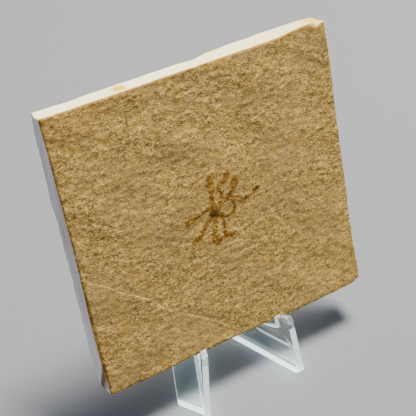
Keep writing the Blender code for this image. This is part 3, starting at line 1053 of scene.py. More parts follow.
    def pit_mask(self, right: Array, up: Array) -> Array:
        """Return how deep each place lies in one of the small dark pits, from 0 to 1."""
        pits = [patch(right, up, centre, radius, 0.15, 1.4) for centre, radius in self.pits]
        return np.maximum.reduce(pits)

    def front_height(self, right: Array, up: Array) -> Array:
        """Return the finished front face's height out of its flat plane, in mm; it is negative."""
        crease, faint = self.lines(right, up)
        worn = self.bottom_bevel * ease(up, 0.9, 0.0) * (1 + 0.9 * rough(right, up, 2.0, 1.6, 151))
        raised = self.crease_height * crease + self.faint_height * faint
        raised = raised - self.pit_depth * self.pit_mask(right, up) - worn
        return -self.front_depth(right, up) + self.relief(right, up) + raised

    def back_depth(self, right: Array, up: Array) -> Array:
        """Return the slab's thickness at each place, rough behind."""
        depth = self.thickness + self.back_waves * waves(right, up, 1.9)
        for lump in self.back_lumps:
            swell = bump(right, lump.right, lump.reach_right) * bump(up, lump.up, lump.reach_up)
            depth = depth + lump.rise * swell
        return depth - self.back_grain * (1 + rough(right, up, 5.0, 3.4, 211, 4))

    def place(self, a: Array, b: Array, through: Array, inward: Array) -> Array:
        """Return points of the slab's surface.

        Args:
            a: Shares of the way from left to right.
            b: Shares of the way from bottom to top.
            through: Shares of the way from front to back.
            inward: For each point, how it is drawn in at an edge, as three signs in a row.

        Returns:
            One row of three coordinates, in mm, for each point.
        """
        right, up = (a - 0.5) * self.width, b * self.height
        low = -self.width / 2 + self.left.inset(up, through)
        bevel = self.right_bevel * ease(through, 0.024, 0.0) * ease(up, 44.0, 56.0)
        high = self.width / 2 - self.right.inset(up, through) - bevel
        foot = self.bottom.inset(right, through)
        head = self.height - self.top.inset(right, through)
        front = -self.front_height(right, up)
        back = self.back_depth(right, up)
        place = np.stack([low + a * (high - low), foot + b * (head - foot),
                          -(front + through * (back - front))], axis=1)
        return place + self.edge_pull * inward

    def border(self, across: int, upward: int) -> list[tuple[int, int]]:
        """Return the lattice places around a grid's border, in order."""
        return ([(i, 0) for i in range(across)] + [(across, j) for j in range(upward)]
                + [(i, upward) for i in range(across, 0, -1)] + [(0, j) for j in range(upward, 0, -1)])

    def lattice(self) -> tuple[Array, list[tuple[int, ...]]]:
        """Lay out the lattice: front grid, fine rings, coarse rings and back grid.

        Returns:
            For each point its three shares (a, b, through) and its edge signs in one row, and the faces.
        """
        rows: list[tuple[float, ...]] = []
        faces: list[tuple[int, ...]] = []

        def add(spots: list[tuple[int, int]], cols: int, lines: int, through: float,
                sign: int = 0) -> list[int]:
            """Add points at one depth, drawn in where two faces meet, and return their numbers."""
            for i, j in spots:
                side = ((i == 0) - (i == cols), (j == 0) - (j == lines), sign)
                rows.append((i / cols, j / lines, through, *(side if sum(map(abs, side)) > 1 else (0, 0, 0))))
            return list(range(len(rows) - len(spots), len(rows)))

        def grid(cols: int, lines: int, through: float, sign: int) -> list[int]:
            """Add a full grid of points with its faces, facing out by its sign, and return its border."""
            spots = [(i, j) for i in range(cols + 1) for j in range(lines + 1)]
            numbers = dict(zip(spots, add(spots, cols, lines, through, sign)))
            for i, j in spots:
                if i < cols and j < lines:
                    quad = tuple(numbers[spot] for spot in ((i, j), (i + 1, j), (i + 1, j + 1), (i, j + 1)))
                    faces.append(quad if sign < 0 else quad[::-1])
            return [numbers[spot] for spot in self.border(cols, lines)]

        def skirt(upper: list[int], lower: list[int]) -> list[int]:
            """Join two rings, of the same count or with two cells above each one below."""
            step = len(upper) // len(lower)
            for n in range(len(lower)):
                above = [upper[(step * n + k) % len(upper)] for k in range(step, -1, -1)]
                faces.append((*above, lower[n], lower[(n + 1) % len(lower)]))
            return lower

        across, upward = self.cells_across, self.cells_up
        ring = grid(across, upward, 0.0, -1)
        for depth in self.fine_depths[1:]:
            ring = skirt(ring, add(self.border(across, upward), across, upward, depth / self.thickness))
        across, upward = across // 2, upward // 2
        start = self.fine_depths[-1] / self.thickness
        for n in range(1, self.coarse_layers):
            through = start + (1.0 - start) * n / self.coarse_layers
            ring = skirt(ring, add(self.border(across, upward), across, upward, through))
        skirt(ring, grid(across, upward, 1.0, 1))
        return np.array(rows), faces

    def front_marks(self, right: Array, up: Array) -> dict[Enum, Array]:
        """Work out the stone's masks on the front face.

        Args:
            right: Places along the face, in mm.
            up: Places up the face, in mm.

        Returns:
            Iron on the rim, corner, pits and chip; dark rims, pits, the painted shadow of the broken lower
            right edge and the painted shade of the clouds; pale lines and the painted light of the clouds;
            and the crust, which covers all but the chip.
        """
        half = self.width / 2
        blotch = rough(right, up, 4.0, 3.0, 311)
        speckled = ease(rough(right, up, 1.1, 0.9, 321), 0.0, 0.45)
        border = np.minimum.reduce([right + half, half - right, up, self.height - up])
        rim = ease(border, 0.75 + 0.4 * blotch, 0.1)
        rim = rim * np.where(half - right < 1.5, 0.35, 1.0) * ease(up, 0.5, 3.0)
        corner = patch(right, up, self.rusty_corner, 24.0, 4.0, 1.6)
        iron = 0.62 * rim * (0.75 + 0.4 * blotch) + 0.30 * corner * (0.6 + 0.5 * blotch)
        lower_right = ease(right, 30.0, 38.0) * ease(up, 0.9 + 0.9 * blotch, 0.2) * (0.22 + 0.3 * speckled)
        pitted = patch(right, up, self.rusty_pits, 5.5, 1.5, 1.8)
        iron = np.maximum(iron, lower_right) + 0.55 * pitted * speckled

        left_rim = ease(right + half, 0.9 + 0.8 * rough(up, right, 1.3, 4.0, 333), 0.25)
        left_rim = left_rim * np.clip(0.75 + 0.9 * rough(up, right, 1.1, 3.0, 335), 0.25, 1.0)
        bottom_rim = ease(up, 0.7 + 0.4 * rough(right, up, 2.0, 4.0, 337), 0.1)
        # Painted shadow: dark specks along the bottom at the right, where the broken lower edge faces down
        # into shade
        broken_edge_shadow = ease(right, 42.0, 46.0) * ease(up, 2.2 + blotch, 0.9)
        dark = np.maximum.reduce([0.9 * left_rim, 0.55 * bottom_rim * speckled, 0.7 * broken_edge_shadow * speckled,
                                  0.8 * self.pit_mask(right, up)])
        crease, faint = self.lines(right, up)
        pale = 0.25 * crease + 0.15 * faint
        # The clouds paint broad light and shade: paler patches raise the pale mask, darker ones the dark mask
        for centre, reach, strength in self.clouds:
            light_and_shade_patch = patch(right, up, centre, reach, 0.2 * reach)
            pale = pale + max(strength, 0.0) * light_and_shade_patch
            dark = dark + max(-strength, 0.0) * light_and_shade_patch

        below_top = self.height - self.top.inset(right, 0.0 * right) - up
        chip = ease(below_top, 1.1, 0.2) * bump(right, self.chip_place, self.chip_reach)
        return {StoneMark.IRON: np.maximum(iron, 0.8 * chip), StoneMark.DARK: dark, StoneMark.PALE: pale,
                StoneMark.CRUST: 1.0 - chip}

    def side_marks(self, right: Array, up: Array, through: Array) -> dict[Enum, Array]:
        """Work out the stone's masks on the cut sides.

        Args:
            right: Places along the face, in mm.
            up: Places up the face, in mm.
            through: Shares of the way from front to back.

        Returns:
            Iron, dark, cold and crust masks; the cold mask and part of the dark mask paint shade on the left
            side and its broken corner. The front seam is partly crusted, and on the right it is all crust,
            but for a pale sliver at its top.
        """
        on_top = (up > self.height - 2.5) & (right > 1.0 - self.width / 2)
        on_left = (right < 3.0 - self.width / 2) & (up < self.height - 1.0)
        seam = through < 0.03
        right_seam = seam & (right > self.width / 2 - 3.0)
        bare = ease(up, self.sliver_foot, self.sliver_foot + 3.0)
        ochre = ease(np.hypot((right - self.ochre_spot[0]) / self.ochre_size[0],
                              (through - self.ochre_spot[1]) / self.ochre_size[1]), 1.1, 0.6)
        blotch = rough(right, up, 4.0, 3.0, 311)
        beige = 0.65 * ease(right, 42.0, 46.5) * (0.8 + 0.6 * blotch) + 0.14 * ease(right, -10.0, 40.0)
        broken = ease(self.break_depth * (1 - up / self.break_height) - through, -0.05, 0.05)
        # Painted shade on the broken facet at the left side's low front corner
        broken_shade = broken * ease(up / 9.0 + through / 0.7, 0.2, 1.05)
        streak = bump(up, 58.0, 9.0) * bump(through, 0.55, 0.35)
        # Painted shade over the left side, fading out towards its foot
        left_shade = 0.22 + 0.08 * bump(up, 52.0, 20.0) - 0.22 * ease(up, 34.0, 12.0)
        iron = np.where(on_top, np.maximum(0.95 * ochre, beige), 0.0)
        iron = np.where(on_left, np.maximum(iron, 0.35 * streak + 0.15 * broken), iron)
        dark = np.where(on_left, np.maximum(broken_shade, left_shade), 0.0)
        # On the left side the cold mask lays the grey copy of the cut stone: painted shade
        return {
            StoneMark.IRON: np.select([right_seam, seam], [0.35 * (1 - bare), 0.5], iron),
            StoneMark.DARK: np.select([right_seam, seam & on_left], [0.30 * (1 - bare), 0.7], dark),
            StoneMark.PALE: np.select([right_seam, on_left], [0.8 * bare, 1.0], 0.0),
            StoneMark.CRUST: np.select([right_seam, seam], [1.0 - bare, 0.6], 0.0),
        }

    def marks(self, points: Array, through: Array) -> dict[Enum, Array]:
        """Return the stone's four masks at each point.

        Args:
            points: The points in the slab's frame, in mm.
            through: Their shares of the way from front to back.

        Returns:
            Iron, dark and crust masks, and one that is pale on the front and cold on the cut sides, where it
            paints shade on the left side.
        """
        right, up, _ = points.T
        front, back = through == 0.0, through == 1.0
        side = ~(front | back)
        masks = {mark: np.zeros(len(points)) for mark in StoneMark}
        masks[StoneMark.CRUST][back] = 0.9
        spread(masks, front, self.front_marks(right[front], up[front]))
        spread(masks, side, self.side_marks(right[side], up[side], through[side]))
        return masks

    def line_marks(self, points: Array, through: Array) -> dict[Enum, Array]:
        """Return where the crease and the faint lines run.

        Args:
            points: The points in the slab's frame, in mm.
            through: Their shares of the way from front to back.

        Returns:
            For each kind of line, a signed distance kept as 0.5 on the line, and its strength.
        """
        right, up, _ = points.T
        fading = np.interp(right, (-50.0, -14.0, 8.0), (1.0, 0.9, 0.75))
        broken = np.clip((0.75 + 1.1 * rough(right, up, 2.5, 2.5, 171)) * fading, 0.2, 1.0)
        masks: dict[Enum, Array] = {}
        for side, strength, chains, share in (
            (StoneLine.CREASE_SIDE, StoneLine.CREASE, (self.crease,), 1.1),
            (StoneLine.FAINT_SIDE, StoneLine.FAINT, self.faint_lines, 0.45),
        ):
            masks[side] = np.full(len(points), 1.0)
            masks[strength] = np.zeros(len(points))
            for chain in chains:
                path = smooth_path(chain, 0.25)
                away = np.full(len(points), self.line_reach)
                near = (through == 0.0) & (right > path[:, 0].min() - 2) & (right < path[:, 0].max() + 2)
                away[near] = side_of_path(right[near], up[near], path)
                close = np.abs(away) < self.line_reach
                masks[side][close] = 0.5 + away[close] / (2 * self.line_reach)
                masks[strength][close] = share * broken[close]
        return masks

    def build(self, shelf: EffectShelf, fossil: "FossilRelief") -> Piece:
        """Build the slab and dress it.

        Args:
            shelf: The shared shader groups.
            fossil: The fossil, whose stain shows on the stone.

        Returns:
            The slab's object.
        """
        rows, faces = self.lattice()
        through = rows[:, 2]
        points = self.place(rows[:, 0], rows[:, 1], through, rows[:, 3:])
        piece = piece_from("limestone_plate_stone", points, faces, self.lean.matrix())
        paint(piece, STONE_MARKS, self.marks(points, through))
        paint(piece, STONE_LINES, self.line_marks(points, through))
        close = (through == 0.0) & fossil.surrounds(points[:, 0], points[:, 1])
        stain = {mark: np.zeros(len(points)) for mark in FossilMark}
        spread(stain, close, fossil.marks(points[close, 0], points[close, 1]))
        paint(piece, FOSSIL_MARKS, stain)
        piece.data.set_sharp_from_angle(angle=math.radians(50))
        piece.data.materials.append(LimestoneFinish().build(shelf))
        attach(piece, BODY)
        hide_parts("limestone_plate")
        return piece


# The fossil


@dataclass(frozen=True)
class Arm:
    """One arm: its centre line from the disc outward, and its widths at the root, middle and tip, in mm."""

    name: str
    points: tuple[Pair, ...]
    widths: tuple[float, float, float]


ARMS = (
    Arm("left", ((-1.8, 46.8), (-4.3, 48.5), (-6.5, 48.0), (-8.5, 47.1), (-11.8, 46.4)), (0.9, 0.8, 1.6)),
    Arm("lower_left", ((-1.8, 46.4), (-4.3, 44.2), (-6.3, 42.2), (-8.3, 40.3), (-10.6, 39.0)),
        (0.9, 0.9, 1.6)),
    Arm("down", ((-1.6, 46.0), (-1.6, 43.4), (-2.4, 40.8), (-3.4, 38.6), (-3.1, 36.7), (-1.6, 36.1),
                 (-0.8, 37.2)), (1.3, 1.3, 1.5)),
    Arm("down_right", ((-1.2, 46.0), (0.9, 44.2), (1.4, 41.8), (1.0, 38.9), (1.7, 37.1), (3.9, 37.0)),
        (0.9, 0.7, 1.9)),
    Arm("loop", ((-1.0, 45.8), (2.0, 44.1), (4.5, 44.0), (6.0, 45.4), (6.3, 47.0), (5.4, 48.9)),
        (1.0, 0.8, 1.1)),
    Arm("right", ((-1.4, 47.0), (0.9, 48.7), (3.9, 49.7), (6.9, 48.5), (9.2, 47.1), (12.1, 47.9),
                  (13.9, 48.8), (15.8, 49.2)), (1.7, 1.1, 1.0)),
    Arm("upper_right", ((3.2, 49.4), (4.6, 50.7), (6.6, 51.7), (7.6, 53.4), (7.6, 55.2)), (1.2, 1.1, 2.1)),
    Arm("short_hook", ((0.9, 48.7), (1.7, 50.3), (2.4, 52.1), (1.4, 53.6)), (1.1, 0.8, 0.8)),
    Arm("top_lobe", ((1.4, 53.4), (2.0, 55.2), (3.7, 55.9), (5.4, 57.2), (5.1, 58.2)), (0.9, 1.5, 2.1)),
    Arm("upward", ((-1.8, 46.9), (-1.5, 50.0), (-1.3, 53.2), (-1.1, 55.8), (-0.5, 58.6)), (1.3, 1.4, 3.1)),
)


@dataclass(frozen=True)
class DarkLine:
    """A dark line in the fossil's stain: points along it, its half width in mm, and its strength."""

    points: tuple[Pair, ...]
    half_width: float = 0.32
    strength: float = 0.75

    def mask(self, right: Array, up: Array, ragged: Array) -> Array:
        """Return the line's strength at each place, with its margin moved by the ragged noise."""
        away, _ = distance_to_path(right, up, smooth_path(self.points, 0.2))
        return self.strength * ease(away / self.half_width + 0.5 * ragged, 1.9, 0.5)


DARK_LINES = (
    DarkLine(((4.3, 50.1), (5.8, 49.7), (7.8, 48.6), (9.2, 47.4)), 0.26),
    DarkLine(((10.3, 47.3), (11.5, 47.6)), 0.42),
    DarkLine(((13.9, 49.0), (14.5, 49.2), (15.5, 49.3)), 0.52, 0.95),
    DarkLine(((1.1, 53.6), (2.1, 52.5), (2.1, 51.4), (1.4, 50.7)), 0.32),
    DarkLine(((5.7, 47.7), (6.2, 46.3), (5.5, 44.9), (4.0, 44.0)), 0.36, 0.7),
    DarkLine(((3.3, 43.6), (1.9, 43.9), (0.2, 44.9)), 0.26, 0.6),
    DarkLine(((-1.5, 52.3), (-1.2, 50.9), (-0.9, 49.2)), 0.36, 0.7),
    DarkLine(((-3.4, 48.5), (-4.9, 48.1), (-6.4, 47.4), (-8.0, 46.9)), 0.28, 0.65),
    DarkLine(((-8.6, 47.4), (-10.1, 47.3), (-11.2, 46.8)), 0.30, 0.45),
    DarkLine(((-4.2, 44.7), (-6.1, 42.8), (-7.8, 41.1), (-9.9, 39.6)), 0.30, 0.6),
    DarkLine(((-2.1, 44.1), (-2.8, 41.4), (-3.0, 39.3)), 0.28, 0.45),
    DarkLine(((-2.4, 38.3), (-1.8, 38.1)), 0.42, 0.8),
    DarkLine(((-1.8, 36.9), (-1.4, 36.6)), 0.36, 0.65),
    DarkLine(((-3.9, 36.8), (-3.6, 36.6)), 0.36, 0.6),
    DarkLine(((1.1, 43.2), (1.0, 41.0), (0.8, 38.5), (1.1, 36.7)), 0.28, 0.65),
    DarkLine(((6.7, 55.1), (6.2, 54.0), (6.6, 52.5), (5.3, 51.3), (3.8, 50.8)), 0.28, 0.65),
    DarkLine(((8.1, 54.5), (8.0, 52.7), (7.0, 51.7)), 0.26, 0.5),
    DarkLine(((5.3, 57.4), (4.3, 56.6)), 0.60, 0.55),
    DarkLine(((-1.0, 46.4), (0.4, 45.6), (1.4, 45.0)), 0.65, 0.9),
    DarkLine(((-1.5, 56.7), (-1.4, 58.4), (-0.2, 59.2)), 0.40, 0.3),
)


@dataclass
class FossilRelief:
    """The flattened fossil: a disc and curled arms, one low relief whose skirt runs into the stone."""

    lean: Lean
    slab: StoneSlab
    corner: Pair = (-14.0, 33.5)
    size: Pair = (32.0, 28.0)
    cell: float = 0.15
    path_step: float = 0.2
    tip_taper: float = 0.7
    arm_height: float = 0.10
    segment_length: float = 0.85
    groove: float = 0.04
    disc_centre: Pair = (-1.8, 46.6)
    disc_half_size: Pair = (1.6, 1.45)
    disc_height: float = 0.26
    disc_knobs: int = 5
    gap: Pair = (12.75, 48.15)
    gap_strength: float = 0.95
    stain_reach: float = 0.60
    halo_reach: float = 0.50
    halo_strength: float = 0.30
    ragged_reach: float = 0.22
    film_rise: float = 0.04
    film_reach: float = 0.7
    film_slope: float = 0.4
    skirt_reach: float = 1.2
    body_depth: float = 0.45

    def surrounds(self, right: Array, up: Array) -> Array:
        """Return whether each place lies in the fossil's rectangle."""
        return (
            (right > self.corner[0]) & (right < self.corner[0] + self.size[0])
            & (up > self.corner[1]) & (up < self.corner[1] + self.size[1])
        )

    def nearness(self, right: Array, up: Array) -> tuple[Array, Array, Array]:
        """Measure places against the arms.

        Args:
            right: Places to the right, a flat array in mm.
            up: Places up the face, a flat array in mm.

        Returns:
            The distance from the nearest arm's centre line over its half width there, the distance
            along that arm in mm, and the half width.
        """
        nearest = np.full(right.shape, np.inf)
        along = np.zeros(right.shape)
        half = np.ones(right.shape)
        for number, arm in enumerate(ARMS):
            path = smooth_path(arm.points, self.path_step)
            share = np.linspace(0.0, 1.0, len(path))
            widths = (*arm.widths, self.tip_taper * arm.widths[-1])
            halves = np.interp(share, (0.0, 0.5, 0.85, 1.0), widths) / 2
            away, index = distance_to_path(right, up, path)
            ratio = away / halves[index]
            closer = ratio < nearest
            nearest[closer] = ratio[closer]
            along[closer] = index[closer] * self.path_step + 31.0 * number
            half[closer] = halves[index][closer]
        return nearest, along, half

    def from_disc(self, right: Array, up: Array) -> Array:
        """Return the distance from the disc's centre over its radius in that direction."""
        return np.hypot((right - self.disc_centre[0]) / self.disc_half_size[0],
                        (up - self.disc_centre[1]) / self.disc_half_size[1])

    def marks(self, right: Array, up: Array) -> dict[Enum, Array]:
        """Return the fossil's stain, which colours the relief and the stone around it.

        Args:
            right: Places to the right, a flat array in mm.
            up: Places up the face, a flat array in mm.

        Returns:
            Four masks: rust, dark margins and lines, golden specks and the disc.
        """
        ratio, _, half = self.nearness(right, up)
        ragged = rough(right, up, 0.9, 0.8, 503)
        beyond = (ratio - 1.0) * half + self.ragged_reach * ragged
        patchy = np.clip(0.90 + 0.75 * rough(right, up, 1.5, 1.3, 505), 0.4, 1.0)
        halo = self.halo_strength * np.exp(-np.maximum(beyond, 0.0) / self.halo_reach)
        rust = np.maximum(ease(beyond, self.stain_reach, -0.20), halo) * patchy
        rust = rust * (1 - self.gap_strength * patch(right, up, self.gap, 1.1, 0.45))
        broken = ease(rough(right, up, 1.1, 0.9, 521), -0.25, 0.35)
        dark = 0.55 * bump(beyond, 0.0, 0.35) * broken
        for line in DARK_LINES:
            dark = np.maximum(dark, line.mask(right, up, ragged) * (0.6 + 0.5 * broken))
        specks = ease(rough(right, up, 0.6, 0.55, 531, 2), 0.34, 0.62)
        gold = 0.6 * specks * ease(beyond, 1.0, 0.3) * (1 - dark)
        disc_ratio = self.from_disc(right, up) * (1 + 0.2 * rough(right, up, 1.0, 1.0, 541))
        near_disc = 0.7 * ease(disc_ratio, 1.8, 1.1)
        disc = 0.95 * ease(disc_ratio, 1.25, 0.75)
        return {FossilMark.RUST: np.maximum(rust, near_disc), FossilMark.DARK: dark,
                FossilMark.GOLD: gold * (1 - near_disc), FossilMark.DISC: disc}

    def build(self, shelf: EffectShelf) -> Piece:
        """Build the relief and dress it.

        Args:
            shelf: The shared shader groups.

        Returns:
            The fossil's object.
        """
        columns, lines = (round(s / self.cell) for s in self.size)
        grid_right, grid_up = np.meshgrid(
            self.corner[0] + self.cell * np.arange(columns + 1),
            self.corner[1] + self.cell * np.arange(lines + 1), indexing="ij")
        right, up = grid_right.ravel(), grid_up.ravel()
        ratio, along, half = self.nearness(right, up)
        wobble = rough(right, up, 1.1, 1.0, 503)
        ratio = ratio * (1 + 0.22 * wobble)
        segments = 0.75 + 0.25 * np.abs(np.cos(math.pi * along / self.segment_length))
        segments = segments + 0.35 * rough(right, up, 0.7, 0.6, 509)
        arm = self.arm_height * np.sqrt(np.clip(1 - ratio ** 2, 0.0, 1.0)) * segments
        hollow = self.groove * ease(ratio, 0.55, 0.0) * ease(half, 0.42, 0.62)
        disc_ratio = self.from_disc(right, up) * (1 + 0.12 * wobble)
        around = np.arctan2(up - self.disc_centre[1], right - self.disc_centre[0])
        knobs = 1 + 0.16 * np.cos(self.disc_knobs * around)
        disc = self.disc_height * np.sqrt(np.clip(1 - disc_ratio ** 2, 0.0, 1.0)) * knobs
        beyond = np.minimum((ratio - 1.0) * half, (disc_ratio - 1.0) * self.disc_half_size[0])
        film = self.film_rise - self.film_slope * np.maximum(beyond - self.film_reach, 0.0)
        stone = self.slab.front_height(right, up)
        height = stone + np.maximum(arm - hollow, disc) + film

        keep = (beyond < self.skirt_reach).reshape(grid_right.shape)
        cells = keep[:-1, :-1] & keep[1:, :-1] & keep[1:, 1:] & keep[:-1, 1:]
        piece, used = self.closed_relief(right, up, height, stone - self.body_depth, cells)
        masks = self.marks(right[used], up[used])
        paint(piece, FOSSIL_MARKS, {mark: np.concatenate([values, values]) for mark, values in masks.items()})
        piece.data.materials.append(FossilFinish().build(shelf))
        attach(piece, BODY)
        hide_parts("brittle_star_fossil")
        return piece

    def closed_relief(self, right: Array, up: Array, top: Array, bottom: Array,
                      cells: Array) -> tuple[Piece, Array]:
        """Build a closed body from a height field and the cells of it that are kept.

        Args:
            right: The lattice's places to the right, flat.
            up: The lattice's places up the face, flat.
            top: Heights of the upper surface.
            bottom: Heights of the hidden underside.
            cells: Which cells are kept.

        Returns:
            The new object, and the numbers of the lattice points that it uses.
        """
        lines = cells.shape[1] + 1
        kept = np.argwhere(cells)
        corner = kept[:, 0] * lines + kept[:, 1]
        quads = np.stack([corner, corner + lines, corner + lines + 1, corner + 1], axis=1)
        used, numbers = np.unique(quads, return_inverse=True)
        quads = numbers.reshape(quads.shape).tolist()
        count = len(used)
        upper = np.stack([right[used], up[used], top[used]], axis=1)
        lower = np.stack([right[used], up[used], bottom[used]], axis=1)
        faces = [tuple(quad) for quad in quads]
        faces += [tuple(n + count for n in reversed(quad)) for quad in quads]
        sides = dict.fromkeys(pair for quad in quads for pair in zip(quad, quad[1:] + quad[:1]))
        faces += [(b, a, a + count, b + count) for a, b in sides if (b, a) not in sides]
        piece = piece_from("fossil_relief", np.concatenate([upper, lower]), faces, self.lean.matrix())
        return piece, used


# The easel


def fillet(before: Pair, corner: Pair, after: Pair, radius: float, steps: int) -> list[Pair]:
    """Round one corner of an outline.

    Args:
        before: The outline's corner before this one.
        corner: The corner to round.
        after: The outline's corner after it.
        radius: The radius of the rounding.
        steps: How many straight pieces it has.

    Returns:
        The points that take the corner's place.
    """
    to_before, to_after = np.subtract(before, corner), np.subtract(after, corner)
    to_before = to_before / np.linalg.norm(to_before)
    to_after = to_after / np.linalg.norm(to_after)
    half = 0.5 * math.acos(float(np.clip(to_before @ to_after, -1.0, 1.0)))
    start = corner + to_before * radius / math.tan(half)
    end = corner + to_after * radius / math.tan(half)
    middle = to_before + to_after
    centre = corner + middle / np.linalg.norm(middle) * radius / math.sin(half)
    points = []
    for n in range(steps + 1):
        spoke = (start - centre) * (1 - n / steps) + (end - centre) * n / steps
        points.append(tuple(centre + spoke / np.linalg.norm(spoke) * radius))
    return points


def round_outline(corners: list[tuple[float, float, float]], steps: int = 8) -> list[Pair]:
    """Turn corners, each two coordinates and a radius, into an outline with rounded corners."""
    outline = []
    for n, (a, b, radius) in enumerate(corners):
        before, after = corners[n - 1][:2], corners[(n + 1) % len(corners)][:2]
        outline += [(a, b)] if radius == 0 else fillet(before, (a, b), after, radius, steps)
    return outline


def upright(name: str, outline: list[Pair], low: float, high: float) -> Piece:
    """Build an upright prism from a plan outline, in mm."""
    return prism(name, *([(x, y, height) for x, y in outline] for height in (low, high)))


def prism(name: str, low: list[tuple[float, ...]], high: list[tuple[float, ...]]) -> Piece:
    """Build a closed prism.

    Args:
        name: The body's name.
        low: The points of one end, in mm, in order.
        high: The matching points of the other end.

    Returns:
        The new object, linked to the scene.
    """
    bm = bmesh.new()
    first, second = ([bm.verts.new(Vector(point) * MM) for point in ring] for ring in (low, high))
    for n in range(len(first)):
        m = (n + 1) % len(first)
        bm.faces.new((first[n], first[m], second[m], second[n]))
    bm.faces.new(list(reversed(first)))
    bm.faces.new(second)
    bm.normal_update()
    bmesh.ops.recalc_face_normals(bm, faces=bm.faces)
    mesh = bpy.data.meshes.new(name)
    bm.to_mesh(mesh)
    bm.free()
    return linked(name, mesh)


def combine(target: Piece, other: Piece, operation: str) -> None:
    """Apply an exact Boolean of one body to another.

    Args:
        target: The body that is changed.
        other: The body that changes it, which is then removed.
        operation: The kind of Boolean.
    """
    modifier = target.modifiers.new("combine", "BOOLEAN")
    modifier.operation = operation
    modifier.solver = "EXACT"
    modifier.object = other
    evaluated = target.evaluated_get(bpy.context.evaluated_depsgraph_get())
    result = bpy.data.meshes.new_from_object(evaluated)
    target.modifiers.clear()
    target.data = result
    bpy.data.objects.remove(other, do_unlink=True)


def divide(bm: bmesh.types.BMesh, faces: list[bmesh.types.BMFace], place: Vector, facing: Vector) -> None:
    """Divide faces where a plane through a place crosses them."""
    parts = list(dict.fromkeys(part for face in faces for part in (face, *face.edges, *face.verts)))
    bmesh.ops.bisect_plane(bm, geom=parts, plane_co=place, plane_no=facing)


